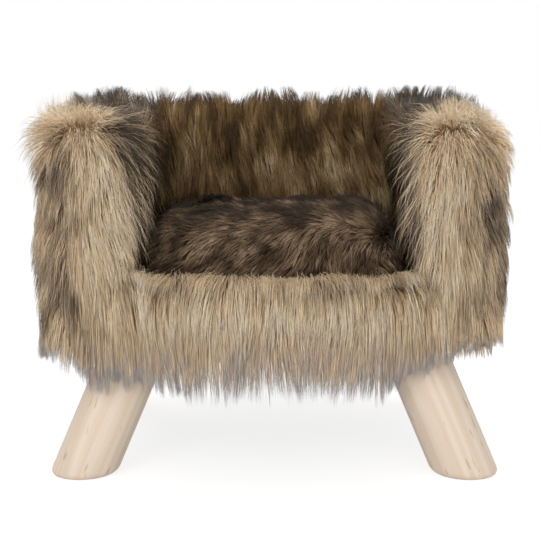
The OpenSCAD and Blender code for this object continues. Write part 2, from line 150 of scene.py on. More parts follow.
class Shader(Nodes):
    """A material."""

    def __init__(self, name, roughness=0.6, specular=0.3):
        self.material = bpy.data.materials.new(name)
        super().__init__(self.material)
        self.surface = self.nodes["Principled BSDF"]
        self.feed(self.surface, {"Roughness": roughness, "Specular IOR Level": specular})

    def place(self):
        """The point's place in the object, in metres."""
        return self.node("ShaderNodeTexCoord").outputs["Object"]

    def stretched(self, vector, scale):
        return self.node("ShaderNodeMapping", {"Vector": vector, "Scale": scale}).outputs[0]

    def noise(self, vector, scale, detail=3.0):
        values = {"Vector": vector, "Scale": scale, "Detail": detail, "Roughness": 0.55}
        return self.node("ShaderNodeTexNoise", values).outputs["Fac"]

    def ramp(self, factor, *stops):
        """A colour ramp over (place, colour) stops."""
        made = self.node("ShaderNodeValToRGB", {"Fac": factor})
        while len(made.color_ramp.elements) < len(stops):
            made.color_ramp.elements.new(1.0)
        for element, (place, colour) in zip(made.color_ramp.elements, stops):
            element.position, element.color = place, colour
        return made.outputs["Color"]

    def grey(self, factor, *stops):
        """A ramp between grey values."""
        return self.ramp(factor, *((place, (value, value, value, 1)) for place, value in stops))

    def tinted(self, factor, dark, light):
        return self.mix(factor, linear(*dark), linear(*light))

    def colour(self, socket):
        self.feed(self.surface, {"Base Color": socket})

    def bump(self, height, distance, strength=0.6):
        values = {"Height": height, "Distance": distance, "Strength": strength}
        self.feed(self.surface, {"Normal": self.node("ShaderNodeBump", values).outputs[0]})


STREAK = 0.22  # how far a strand's brightness may lie from its colour
TIP = (0.60, 0.88)  # where along a strand its tip's colour starts and is full


def fur_material(name, *families):
    """Fur coloured by its own map: across it lie the shades, and up it a strand, root to tip.

    families are rows of (place across, root colour, middle colour, tip colour), and of where the
    tip's colour starts and is full if that isn't TIP.
    """
    s = Shader(name, roughness=0.62, specular=0.22)
    uv = s.node("ShaderNodeUVMap", uv_map="OFBake").outputs[0]
    shade, along, _ = s.node("ShaderNodeSeparateXYZ", {"Vector": uv}).outputs
    mixed = None
    for place, root, middle, tip, *ends in families:
        # A strand is darker at its root than in its middle: partly the fur's own colour, partly
        # painted shade for the shade deep in the pile.
        colours = linear(*root), linear(*middle), linear(*middle), linear(*tip)
        strand = s.ramp(along, *zip((0.0, 0.34, *(ends or TIP)), colours))
        if mixed is None:
            mixed, before = strand, place
            continue
        between = {"Value": shade, "From Min": before, "From Max": place}
        share = s.node("ShaderNodeMapRange", between).outputs[0]
        mixed, before = s.mix(share, mixed, strand), place
    streaks = s.noise(s.stretched(uv, (150, 5, 1)), 1.0, detail=1.0)
    level = s.grey(streaks, (0.25, 1 - STREAK), (0.75, 1 + STREAK))
    s.colour(s.mix(1.0, mixed, level, blend="MULTIPLY"))
    return s.material


def backing_material(name, dark, light):
    """Knitted backing that shows only deep between the strands."""
    s = Shader(name, roughness=0.95, specular=0.08)
    s.colour(s.tinted(s.noise(s.place(), 22), dark, light))
    s.bump(s.noise(s.place(), 420, detail=2), 0.0006)
    return s.material


def wood_material(name, pale, ring, fleck=0.0, contrast=1.0, attribute=None, scale=(1, 1, 1)):
    """Wood whose grain runs along Z of the attribute's space, or of the object's."""
    s = Shader(name, roughness=0.55)
    point = s.place()
    if attribute:
        point = s.node("ShaderNodeAttribute", attribute_name=attribute).outputs["Vector"]
    grain = s.stretched(point, scale)
    waves = {"Vector": grain, "Scale": 26, "Distortion": 7, "Detail": 3, "Detail Scale": 1.2}
    waves["Detail Roughness"] = 0.6
    bands = s.node("ShaderNodeTexWave", waves, wave_type="RINGS", rings_direction="Z")
    bands = s.grey(bands.outputs["Fac"], (0.0, 0.0), (1.0, 0.75 * contrast))
    wander = s.grey(s.noise(grain, 14, detail=2), (0.35, 0.0), (0.75, 0.35 * contrast))
    tone = s.mix(wander, s.tinted(bands, pale, ring), linear(*ring))
    fibres = s.noise(s.stretched(grain, (1, 1, 0.06)), 900, detail=2)
    tone = s.mix(0.16 * contrast, tone, s.grey(fibres, (0.3, 0.25), (0.7, 1.0)), blend="MULTIPLY")
    if fleck:
        marks = s.noise(s.stretched(grain, (1, 1, 1.6)), 260, detail=1)
        tone = s.mix(s.grey(marks, (0.68, 0.0), (0.74, fleck)), tone, linear(150, 118, 88))
    s.colour(tone)
    s.bump(fibres, 0.00015, strength=0.4)
    return s.material


def cloth_material(name, dark, light, threads=1500):
    """Plain weave of two crossing threads, this many to the metre."""
    s = Shader(name, roughness=0.9, specular=0.12)
    thread = {"Vector": s.place(), "Scale": threads / 6.283, "Distortion": 0.4, "Detail": 1}
    bands = [s.node("ShaderNodeTexWave", thread, bands_direction=way) for way in "XY"]
    weave = s.maths("MULTIPLY", *(band.outputs["Fac"] for band in bands))
    worn = s.maths("MULTIPLY", s.noise(s.place(), 30, detail=4), 0.4)
    s.colour(s.tinted(s.maths("ADD", s.maths("MULTIPLY", weave, 0.6), worn), dark, light))
    s.bump(weave, 0.0003)
    return s.material


def cell_material(name, dark, light, scale, depth):
    """Foam or fibre wadding: small cells with a soft colour change."""
    s = Shader(name, roughness=0.95, specular=0.1)
    cells = s.node("ShaderNodeTexVoronoi", {"Vector": s.place(), "Scale": scale})
    s.colour(s.tinted(s.noise(s.place(), 25), dark, light))
    s.bump(cells.outputs["Distance"], depth)
    return s.material


def metal_material(name, colour, roughness):
    """Zinc-plated steel with fine cloudy spangle."""
    s = Shader(name, roughness=roughness, specular=0.5)
    cloud, bright = s.noise(s.place(), 380), linear(*colour)
    dim = tuple(c * 0.72 for c in bright[:3]) + (1.0,)
    rough = s.grey(cloud, (0.3, roughness - 0.08), (0.7, roughness + 0.1))
    looks = {"Metallic": 1.0, "Base Color": s.mix(cloud, dim, bright), "Roughness": rough}
    s.feed(s.surface, looks)
    return s.material


BEIGE = fur_material(
    "beige_fur",
    # The first two rows are the lowest strands' blue-grey tips: grey of their own, made paler as
    # painted light shining through them.
    (0.00, (172, 146, 117), (226, 200, 166), (226, 223, 226), 0.58, 0.86),
    (0.10, (172, 146, 117), (222, 195, 160), (208, 204, 208), 0.58, 0.86),
    (0.16, (58, 48, 39), (88, 76, 64), (58, 52, 48)),
    (0.28, (112, 93, 73), (154, 133, 108), (98, 89, 82), 0.56, 0.86),
    (0.50, (178, 152, 121), (216, 191, 157), (150, 143, 138)),
    (0.64, (198, 170, 135), (233, 207, 170), (214, 194, 166)),
    (0.80, (216, 186, 149), (248, 224, 187), (245, 225, 194)),
    (1.00, (236, 213, 182), (252, 237, 210), (252, 240, 220)),
)
# The brown fur is on the bed's inside and the back's top: partly the fur's own darker colour,
# partly painted shade of the walled-in inside.
BROWN = fur_material(
    "brown_fur",
    (0.00, (54, 39, 25), (78, 58, 36), (44, 34, 27)),
    (0.30, (92, 68, 42), (142, 112, 70), (66, 50, 36)),
    (0.60, (122, 93, 58), (188, 154, 104), (122, 96, 62)),
    (0.85, (150, 122, 84), (210, 180, 134), (190, 160, 118)),
    (1.00, (168, 142, 106), (226, 204, 166), (214, 192, 156)),
)
# The cushion's fur runs darker than the walls': partly its own colour, partly painted shade, as it
# lies low inside the walls.
CUSHION_FUR = fur_material(
    "cushion_fur",
    (0.00, (50, 40, 32), (76, 62, 50), (56, 46, 38)),
    (0.35, (78, 63, 50), (132, 108, 85), (108, 88, 69)),
    (0.70, (106, 87, 69), (172, 146, 117), (180, 154, 125)),
    (1.00, (132, 111, 89), (206, 182, 150), (216, 194, 164)),
)
BEIGE_BACKING = backing_material("beige_backing", (176, 150, 120), (202, 176, 144))
BROWN_BACKING = backing_material("brown_backing", (74, 57, 38), (98, 77, 52))
CUSHION_BACKING = backing_material("cushion_backing", (66, 54, 44), (88, 73, 60))
PINE_LEG = wood_material(
    "leg_pine", (237, 220, 202), (219, 194, 166), 0.42, 0.6, attribute="grain", scale=(1, 1, 0.10)
)
PLYWOOD = wood_material("plywood", (212, 184, 142), (186, 150, 104), scale=(0.25, 1, 1))
PINE_BLOCK = wood_material("pine_block", (224, 200, 160), (200, 168, 122), scale=(1, 1, 0.12))
WEDGE_WOOD = wood_material("wedge_wood", (206, 178, 136), (178, 144, 100), scale=(0.3, 1, 1))
FOAM = cell_material("foam", (228, 218, 190), (240, 232, 208), 900, 0.0006)
FIBRE = cell_material("fibre", (224, 224, 220), (244, 244, 240), 160, 0.0015)
DECK_CLOTH = cloth_material("deck_cloth", (66, 56, 47), (96, 83, 71))
DUST_CLOTH = cloth_material("dust_cloth", (18, 18, 19), (40, 40, 42), threads=900)
ZIP_TAPE = cloth_material("zip_tape", (20, 19, 19), (44, 42, 42), threads=2600)
ZIP_COIL = cell_material("zip_coil", (26, 25, 25), (40, 39, 39), 700, 0.0001)
ZINC = metal_material("zinc_steel", (196, 198, 202), 0.34)


# Meshes


def new_object(name, mesh, material, body, slot, node):
    """A visible piece of this body, shown in place of the CAD node."""
    made = bpy.data.objects.new(name, mesh)
    bpy.context.scene.collection.objects.link(made)
    made.data.materials.clear()
    made.data.materials.append(material)
    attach(made, body)
    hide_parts(node)
    return made


def mesh_of(name, points, faces):
    mesh = bpy.data.meshes.new(name)
    mesh.from_pydata(np.asarray(points).tolist(), [], faces)
    mesh.update()
    shaded(mesh, True)
    return mesh


def shaded(mesh, smooth):
    mesh.polygons.foreach_set("use_smooth", np.full(len(mesh.polygons), smooth))


def evaluated(name, mesh, kind, **settings):
    """The mesh with this modifier applied, as a new mesh."""
    holder = bpy.data.objects.new(name, mesh)
    bpy.context.scene.collection.objects.link(holder)
    added = holder.modifiers.new(kind, kind)
    for key, value in settings.items():
        setattr(added, key, value)
    graph = bpy.context.evaluated_depsgraph_get()
    made = bpy.data.meshes.new_from_object(holder.evaluated_get(graph))
    bpy.data.objects.remove(holder)
    return made


@contextlib.contextmanager
def editing(mesh, *added):
    """The mesh with others added to it, open to bmesh's tools, then written back."""
    bm = bmesh.new()
    for part in (mesh, *added):
        bm.from_mesh(part)
    yield bm
    bm.to_mesh(mesh)
    bm.free()


def joined(mesh, *added):
    with editing(mesh, *added):
        return mesh


def vertices_of(mesh, what="co"):
    found = np.empty(len(mesh.vertices) * 3)
    mesh.vertices.foreach_get(what, found)
    return found.reshape(-1, 3)


def around(count):
    """Each number of a ring with the next one."""
    return [(k, (k + 1) % count) for k in range(count)]


def ring_faces(first, rings, count):
    """Faces between rings of points that follow each other."""
    starts = range(first, first + (rings - 1) * count, count)
    corners = [(a, a + count, k, n) for a in starts for k, n in around(count)]
    return [(a + k, a + n, b + n, b + k) for a, b, k, n in corners]


def dome_faces(first, rings, count):
    """Faces of rings of points that end in one point."""
    last = first + (rings - 1) * count
    ends = [(last + k, last + n, last + count) for k, n in around(count)]
    return ring_faces(first, rings, count) + ends


def cloth(name, corners, counts, thickness, wave, skip=lambda at: False):
    """A thin cloth over a four-sided plane area, a little uneven, with some of its cells left out.

    corners run round the area, counts are its cells along and across, or the places of its grid's
    lines from 0 to 1, and its upper face lies on the plane.
    """
    uneven = Drift(np.random.default_rng(3), 0.05)
    a, b, c, d = (np.array(corner, float) for corner in corners)
    lines = [np.linspace(0, 1, n + 1) if isinstance(n, int) else np.array(n, float) for n in counts]
    along, across = lines[0][:, None, None], lines[1][None, :, None]
    points = (1 - across) * ((1 - along) * a + along * b) + across * ((1 - along) * d + along * c)
    rows, columns = points.shape[:2]
    points = points.reshape(-1, 3)
    up = unit(np.cross(b - a, d - a)[None])[0]
    points = points - (wave * (1 + np.clip(uneven(points), -1, 1)))[:, None] * up
    faces = []
    for i, j in np.ndindex(rows - 1, columns - 1):
        corner = i * columns + j
        face = (corner, corner + columns, corner + columns + 1, corner + 1)
        if not skip(points[list(face)].mean(0)):
            faces.append(face)
    mesh = evaluated(name, mesh_of(name, points, faces), "SOLIDIFY", thickness=thickness, offset=-1)
    with editing(mesh) as bm:
        bmesh.ops.delete(bm, geom=[v for v in bm.verts if not v.link_faces], context="VERTS")
    return mesh


def tube(name, lines, radius, sides):
    """Round tubes with pointed ends along these paths."""
    points, faces = [], []
    turns = np.arange(sides) * 2 * math.pi / sides
    for path in lines:
        path = np.asarray(path, float)
        ahead = unit(np.gradient(path, axis=0))
        side = unit(np.cross(ahead, np.array([0.31, 0.17, 0.93])))  # askew to every path here
        other = np.cross(ahead, side)
        first = len(points)
        for at, one, two in zip(path, side, other):
            points += [at + radius * (math.cos(t) * one + math.sin(t) * two) for t in turns]
        last, tips = len(points) - sides, len(points)
        points += [path[0] - 0.5 * radius * ahead[0], path[-1] + 0.5 * radius * ahead[-1]]
        faces += ring_faces(first, len(path), sides)
        for k, n in around(sides):
            faces += [(first + n, first + k, tips), (last + k, last + n, tips + 1)]
    return mesh_of(name, points, faces)


# Shape of the backing


def box_distance(points, low, high):
    """Signed distance of points to a box."""
    q = np.abs(points - (low + high) / 2) - (high - low) / 2
    return np.linalg.norm(np.maximum(q, 0), axis=1) + np.minimum(q.max(1), 0)


def wall_boxes():
    """The wood and foam of each wall, carried down past the hem."""
    boxes = np.array([[ARM_LOW, ARM_HIGH], [BACK_LOW, BACK_HIGH], [RAIL_LOW, RAIL_HIGH]])
    boxes[:, 0, 2] = HEM_Z - 0.06
    boxes[1:, :, 0] = BOARD_LOW[0], BOARD_HIGH[0]  # the back and the rail run from side to side
    left = boxes[0].copy()
    left[:, 0] = -left[::-1, 0]
    return [*boxes, left]


WALLS = wall_boxes()


def wall_distance(points):
    """Height of points over the rounded core of the walls, less the backing's lift."""
    inset = [box_distance(points, low + CORE_ROUND, high - CORE_ROUND) for low, high in WALLS]
    return np.min(inset, axis=0) - CORE_ROUND - BACKING_LIFT


def gradient(distance, points, step=0.0005):
    found = np.empty_like(points)
    for axis in range(3):
        shift = np.zeros(3)
        shift[axis] = step
        found[:, axis] = distance(points + shift) - distance(points - shift)
    return found / np.maximum(np.linalg.norm(found, axis=1, keepdims=True), 1e-9)


def onto(distance, points, height=0.0, rounds=3):
    """Points moved along the gradient to this height over a surface."""
    for _ in range(rounds):
        points = points - (distance(points) - height)[:, None] * gradient(distance, points)
    return points


def backing_surface():
    """One sheet over all four walls, from the seat deck over the tops and down to the hem."""
    mesh = bpy.data.meshes.new("walls")
    with editing(mesh) as bm:
        for low, high in WALLS:
            size = high - low + 2 * BACKING_LIFT
            place = Matrix.Translation(Vector((low + high) / 2)) @ Matrix.Diagonal((*size, 1))
            bmesh.ops.create_cube(bm, size=1.0, matrix=place)
    mesh = evaluated("walls", mesh, "REMESH", mode="VOXEL", voxel_size=BACKING_VOXEL)
    mesh.vertices.foreach_set("co", onto(wall_distance, vertices_of(mesh)).ravel())
    mesh.update()
    return mesh


def hem_rise(points):
    """How much higher the fur ends over the legs and at the bed's corners, more on the right."""
    x = points[:, 0]
    left = 0.012 * smoothstep(0.095, 0.125, -x) + 0.026 * smoothstep(0.17, 0.225, -x)
    right = 0.020 * smoothstep(0.10, 0.13, x) + 0.018 * smoothstep(0.13, 0.165, x)
    right += 0.015 * smoothstep(0.165, 0.20, x)
    return np.where(x < 0, left, right)


def in_seat(points):
    """Whether points lie between the inner faces of the walls."""
    x, y = np.abs(points[:, 0]), points[:, 1]
    return (x < ARM_LOW[0] + 0.005) & (y > RAIL_HIGH[1] - 0.005) & (y < BACK_LOW[1] + 0.005)


def cover_of(points):
    """Which cover each point belongs to: 0 left arm, 1 right arm, 2 back, 3 front."""
    x, y = points[:, 0], points[:, 1]
    seat_x, seat_y = SEAT_HIGH[0], SEAT_HIGH[1]
    found = np.where(x < 0, 0, 1)
    found[(np.abs(x) < seat_x + 0.02) & (y < 0)] = 3
    found[y - seat_y > np.abs(x) - seat_x] = 2
    return found


COVERS = ("left_arm_cover", "right_arm_cover", "back_cover", "front_cover")


def backing_pieces(surface):
    """The sheet cut into one backing for each cover, and given its thickness."""
    for number, node in enumerate(COVERS):
        mesh = surface.copy()
        with editing(mesh) as bm:
            centres = np.array([face.calc_center_median()[:] for face in bm.faces])
            drop = (cover_of(centres) != number) | (centres[:, 2] < HEM_Z)
            drop |= in_seat(centres) & (centres[:, 2] < SEAT_HIGH[2] + 0.002)
            faces = [face for face, away in zip(bm.faces, drop) if away]
            bmesh.ops.delete(bm, geom=faces, context="FACES")
        mesh = evaluated(node, mesh, "SOLIDIFY", thickness=BACKING_T, offset=-1)
        mesh = joined(mesh, *hem_of(number))
        shaded(mesh, True)
        looks = (BROWN_BACKING, "bed_frame", "brown_fur")
        if number != 2:
            looks = (BEIGE_BACKING, "bed_frame", "beige_fur")
        piece = new_object(node.replace("cover", "backing"), mesh, *looks, node)


def hem_of(number):
    """The backing's turned hem under the board for one cover, cut round the wedges."""
    x_out, y_out = (BOARD_HIGH + BACKING_LIFT - 0.0005)[:2]
    x_in, y_in = (BOARD_HIGH - HEM_WIDTH)[:2]
    middle, wedge = WEDGE_LOW[0] - WEDGE_GAP, WEDGE_HIGH[0] + WEDGE_GAP
    if number < 2:
        areas = [
            [(x_in, -y_in), (x_out, -y_out), (x_out, y_out), (x_in, y_in)],
            [(wedge, -y_out), (x_out, -y_out), (x_in, -y_in), (wedge, -y_in)],
        ]
        side, end = 2 * number - 1, 1
    else:
        areas = [[(-middle, y_in), (middle, y_in), (middle, y_out), (-middle, y_out)]]
        side, end = 1, 5 - 2 * number
        if number == 2:
            corner = [(wedge, y_in), (x_in, y_in), (x_out, y_out), (wedge, y_out)]
            areas += [corner, [(-x, y) for x, y in corner]]
    for area in areas:
        corners = [(side * x, end * y, BOARD_LOW[2] - 0.0001) for x, y in area]
        # Anticlockwise from above, so that the cloth's upper face looks up
        (ax, ay, _), (bx, by, _), _, (dx, dy, _) = corners
        if (bx - ax) * (dy - ay) - (by - ay) * (dx - ax) < 0:
            corners.reverse()
        yield cloth("hem", corners, (24, 8), 0.0013, 0.00005)


def scattered(mesh, count, rng, keep, weight=lambda at: 1):
    """Points spread over the part of a mesh that is kept, evenly or by a weight."""
    mesh.calc_loop_triangles()
    corners = np.empty(len(mesh.loop_triangles) * 3, int)
    mesh.loop_triangles.foreach_get("vertices", corners)
    triangles = vertices_of(mesh)[corners].reshape(-1, 3, 3)
    triangles = triangles[keep(triangles.mean(1))]
    a, b, c = np.moveaxis(triangles, 1, 0)
    share = np.linalg.norm(np.cross(b - a, c - a), axis=1) / 2 * weight(triangles.mean(1))
    picked = rng.choice(len(triangles), count, p=share / share.sum())
    u, v = rng.random(count), rng.random(count)
    over = u + v > 1
    u[over], v[over] = 1 - u[over], 1 - v[over]
    a, b, c = a[picked], b[picked], c[picked]
    return a + u[:, None] * (b - a) + v[:, None] * (c - a)


# Growing the fur


class Drift:
    """A smooth random field: a few long waves added up."""

    def __init__(self, rng, wavelength, waves=7):
        self.turn = rng.normal(size=(waves, 3)) * 2 * math.pi / wavelength
        self.phase = rng.uniform(0, 2 * math.pi, waves)
        self.scale = math.sqrt(2 / waves)

    def __call__(self, points):
        return np.sin(points @ self.turn.T + self.phase).sum(1) * self.scale


def unit(vectors):
    return vectors / np.maximum(np.linalg.norm(vectors, axis=1, keepdims=True), 1e-9)


def smoothstep(low, high, values):
    t = np.clip((values - low) / (high - low), 0, 1)
    return t * t * (3 - 2 * t)


def blended(share, first, second):
    return first + share[:, None] * (second - first)


STEPS = 12  # points at which a strand's path is worked out
RINGS = np.array([0, 4, 8, 12])  # the ones that its mesh keeps: the root, two rings and the tip


def paths(roots, normals, comb, length, lift, droop, distance, wave, clear):
    """Strand paths of STEPS + 1 points. Each leaves along its normal and bends over to its comb.

    lift is how upright a strand starts, droop how much it hangs, and clear the lowest height over
    the surface that its tip may sink to.
    """
    line = [roots]
    step = length / STEPS
    down = np.array([0.0, 0.0, -1.0])
    for k in range(STEPS):
        t = k / (STEPS - 1)
        upright = lift * (1 - t) ** 1.3 + 0.10
        heading = upright[:, None] * normals + (1 - 0.55 * upright)[:, None] * comb
        heading = unit(heading + (droop * t)[:, None] * down + wave * t)
        point = line[-1] + heading * step[:, None]
        short = np.maximum(clear * t - distance(point), 0)
        point = point + short[:, None] * normals_at(distance, point)
        line.append(point)
    return np.stack(line, axis=1)


def normals_at(distance, points):
    return gradient(distance, points, step=0.001)


def crest_share(points, normals):
    """How far points are on the crest along the tops of the walls, 0 to 1."""
    up = smoothstep(-0.1, 0.5, normals[:, 2])
    return up * smoothstep(0.29, 0.31, points[:, 2]) * smoothstep(-0.12, -0.08, points[:, 1])


def tuftiness(points, normals):
    """How much the pile gathers into pointed locks, 0 to 1: at the crest, the sides and the hem."""
    x, y, z = points.T
    hem = smoothstep(0.18, 0.14, z)
    side = smoothstep(0.185, 0.207, np.abs(x))
    inner_back = smoothstep(0.3, 0.7, -normals[:, 1]) * (y > 0.03)
    parts = [0.7 * crest_share(points, normals), 0.45 * hem, 0.45 * side, 0.2 * inner_back]
    return np.clip(0.08 + np.maximum.reduce(parts), 0, 1)


def nearest_of(points, centres):
    """The number of the centre that is nearest to each point."""
    tree = kdtree.KDTree(len(centres))
    for number, centre in enumerate(centres):
        tree.insert(centre, number)
    tree.balance()
    return np.array([tree.find(point)[1] for point in points])


def in_zip_path(lines, low_y, high_y, reach):
    """Whether lines come this near to the zip slider's height on its way, between these depths."""
    x, y, z = np.moveaxis(lines, 2, 0)
    caught = (np.abs(x) < ZIP_HIGH[0]) & (y > low_y) & (y < high_y) & (np.abs(z - ZIP_Z) < reach)
    return caught.any(1)


def drawn_in(lines, roots, centres, centre_lines, nearest, pull):
    """Lines drawn towards the path of their clump, more towards their tips."""
    t = np.linspace(0, 1, lines.shape[1])[None, :, None]
    aim = centre_lines[nearest] + (roots - centres[nearest])[:, None, :] * (1 - t) ** 1.4
    return lines + (aim - lines) * pull[:, None, None] * t**0.9


def strand_faces():
    """One strand's faces: each corner's number, place round the strand and height, 0 to 1."""
    faces = []
    for ring, (low, high) in enumerate(((0.0, 0.33), (0.33, 0.66))):
        a, b = 3 * ring, 3 * (ring + 1)
        for k, n in around(3):
            face = [(a + k, k, low), (a + n, k + 1, low), (b + n, k + 1, high), (b + k, k, high)]
            faces.append(face)
    faces += [[(6 + k, k, 0.66), (6 + n, k + 1, 0.66), (9, k + 0.5, 1.0)] for k, n in around(3)]
    return [*faces, [(2, 0, 0.0), (1, 3, 0.0), (0, 1.5, 0.03)]]


STRIP = 0.008  # width of one strand's strip in the map


def strand_mesh(name, lines, width, shade, rng):
    """Closed three-sided tapered strands along these lines, their shade and height as a map."""
    count = len(lines)
    at = lines[:, RINGS]
    along = unit((at[:, -1] - at[:, 0]).reshape(-1, 3))
    side = unit(np.cross(along, rng.normal(size=(count, 3))))
    other = np.cross(along, side)
    turns = (np.arange(3) * 2 * math.pi / 3)[None, :, None]
    spokes = np.cos(turns) * side[:, None, :] + np.sin(turns) * other[:, None, :]
    radii = width[:, None] * (np.array([0.9, 0.95, 0.68]) / 2)
    rings = at[:, :3, None, :] + radii[:, :, None, None] * spokes[:, None]
    points = np.concatenate([rings.reshape(count, 9, 3), at[:, 3:4]], axis=1).reshape(-1, 3)

    faces = strand_faces()
    corners, across, up = np.array([corner for face in faces for corner in face]).T
    loops = (corners.astype(int)[None, :] + 10 * np.arange(count)[:, None]).ravel()
    totals = np.tile([len(face) for face in faces], count)
    mesh = bpy.data.meshes.new(name)
    mesh.vertices.add(len(points))
    mesh.vertices.foreach_set("co", points.ravel())
    mesh.loops.add(len(loops))
    mesh.loops.foreach_set("vertex_index", loops)
    mesh.polygons.add(len(totals))
    mesh.polygons.foreach_set("loop_start", np.concatenate([[0], np.cumsum(totals)[:-1]]))
    mesh.polygons.foreach_set("loop_total", totals)
    shaded(mesh, True)
    u = shade[:, None] * (1 - STRIP) + across[None, :] * STRIP / 3
    v = np.broadcast_to(0.002 + 0.996 * up[None, :], u.shape)
    layer = mesh.uv_layers.new(name="OFBake")
    layer.uv.foreach_set("vector", np.stack([u, v], axis=2).ravel())
    mesh.update(calc_edges=True)
    mesh.validate()
    return mesh


def fur_pieces(name, order, parts, strands, rng, *looks):
    """The strands' lines, widths and shades dealt out in this order to pieces of fur."""
    for part, chosen in enumerate(np.array_split(order, parts), 1):
        piece = f"{name}_{part}"
        mesh = strand_mesh(piece, *(values[chosen] for values in strands), rng)
        new_object(piece, mesh, *looks)


def from_whorl(points):
    """The way to points from their arm's whorl."""
    return points - WHORLS[(points[:, 0] > 0).astype(int)]


def whorl_distance(points):
    return np.linalg.norm(from_whorl(points), axis=1)


def wall_comb(points, normals, drifts):
    """The way the pile lies on the walls, then how far it is crest, whorl or flat, 0 to 1."""
    x, y, z = points.T
    count = len(points)
    down = np.tile([0.0, 0.0, -1.0], (count, 1))
    away = whorl_distance(points)
    out = from_whorl(points) / np.maximum(away, WHORL_CORE)[:, None]
    frontness = smoothstep(0.02, -0.09, y)
    sideness = smoothstep(0.045, 0.125, np.abs(x))
    falling = 0.2 + 1.6 * smoothstep(0.29, 0.16, z)
    comb = blended(frontness * sideness, down, out + falling[:, None] * down)

    inner_back = smoothstep(0.3, 0.7, -normals[:, 1]) * (y > 0.03)
    lean = -0.06 - 0.20 * smoothstep(-0.04, 0.10, x) + 0.05 * drifts[0](points)
    upward = np.stack([lean, np.zeros(count), np.ones(count)], axis=1)
    comb = blended(inner_back, comb, upward)

    flat = smoothstep(0.1, 0.7, normals[:, 2]) * (z < RAIL_HIGH[2] + 0.03)
    comb = blended(flat, comb, np.tile([0.0, -1.0, -0.3], (count, 1)))

    crest = smoothstep(-0.1, 0.5, normals[:, 2]) * smoothstep(-0.12, -0.06, y) * (z > 0.3)
    upright = np.stack([0.3 * drifts[0](points), np.full(count, 0.05), np.ones(count)], 1)
    comb = blended(crest, comb, upright)

    stray = np.stack([drift(points) for drift in drifts[1:4]], axis=1)
    into = (comb * normals).sum(1, keepdims=True) * normals
    comb = comb - (0.8 * (1 - crest))[:, None] * into + (0.11 - 0.05 * inner_back)[:, None] * stray
    return comb, crest, np.exp(-((away / 0.055) ** 2)), flat


def wall_shade(points, normals, drifts):
    """Where the pile lies on its material's run of shades, from 0, dark, to 1, pale."""
    x, y, z = points.T
    side = np.abs(x)
    tall = points * np.array([1.0, 1.0, 0.4])
    shade = 0.88 + 0.09 * drifts[4](tall) + 0.07 * drifts[5](tall) + 0.02 * (x < -0.13)
    front = smoothstep(-0.10, -0.15, y)
    for across, up, half_across, half_up, depth in DARK_STREAKS:
        near = np.exp(-(((x - across) / half_across) ** 2) - ((z - up) / half_up) ** 2)
        shade -= (0.72 if across < 0 else 0.52) * depth * near * front
    patches = drifts[6](points * np.array([1.0, 1.0, 0.55]))
    outer = smoothstep(0.180, 0.207, side) * smoothstep(0.345, 0.30, z)
    shade -= outer * np.clip(0.05 + 0.12 * patches - 0.09 * (x > 0), 0, 0.4)
    lower = smoothstep(0.20, 0.16, z) * (1 - outer)
    shade -= lower * np.clip(0.04 + 0.08 * patches, 0, 0.2)
    # Painted light: the pile between the arms, on the rail, is made paler, as its front is lit
    # more.
    shade += 0.20 * (side < 0.13)
    # Painted shade: the rail's top, by the cushion, is darkened.
    shaded_rail_top = smoothstep(0.3, 0.8, normals[:, 2]) * (z < RAIL_HIGH[2] + 0.03)
    shade -= 0.46 * shaded_rail_top * smoothstep(-0.178, -0.150, y) * (side < 0.126)
    wisps = np.clip(drifts[7](points * np.array([1.0, 1.0, 0.2])), 0, 1.6)
    shade -= wisps * (0.04 + 0.13 * outer + 0.05 * lower * (side > 0.13))
    shade = np.maximum(shade, 0.20)
    shade -= 0.10 * np.exp(-((whorl_distance(points) / 0.065) ** 2))

    # The inner sides of the arms and their front inner corners are darkened: painted shade, as they
    # face into the shaded inside of the bed
    receding = 0.004 * smoothstep(0.25, 0.30, z) + 0.020 * smoothstep(0.315, 0.365, z)
    edge = 0.152 + np.where(x < 0, receding, 0.003)
    corner = smoothstep(edge + 0.006, edge - 0.004, side) * smoothstep(0.215, 0.245, z)
    inward = smoothstep(0.3, 0.7, -normals[:, 0] * np.sign(x)) * smoothstep(-0.165, -0.14, y)
    shaded_inner_side = np.maximum(corner * (side > 0.115) * (y < 0), inward)
    shade = shade + shaded_inner_side * (0.19 + 0.05 * drifts[4](points) - shade)
    start = np.where(x < 0, -0.13, -0.105)
    arm_top = smoothstep(start, start + 0.03, y) * smoothstep(0.322, 0.337, z)
    arm_top *= 1 - smoothstep(0.188, 0.206, side) * smoothstep(0.02, -0.03, y)
    shade = shade + arm_top * (0.20 + 0.14 * np.maximum(drifts[4](points), 0) - shade)

    back = (normals[:, 1] < -0.3) & (y > 0.03)
    light = 0.52 + 0.15 * drifts[4](points) + 0.12 * drifts[5](tall)
    light -= 0.10 * smoothstep(0.305, 0.325, z)
    light += 0.30 * smoothstep(0.295, 0.27, z) * smoothstep(-0.03, 0.03, x) - 0.10 * wisps
    return np.where(back, light, shade)


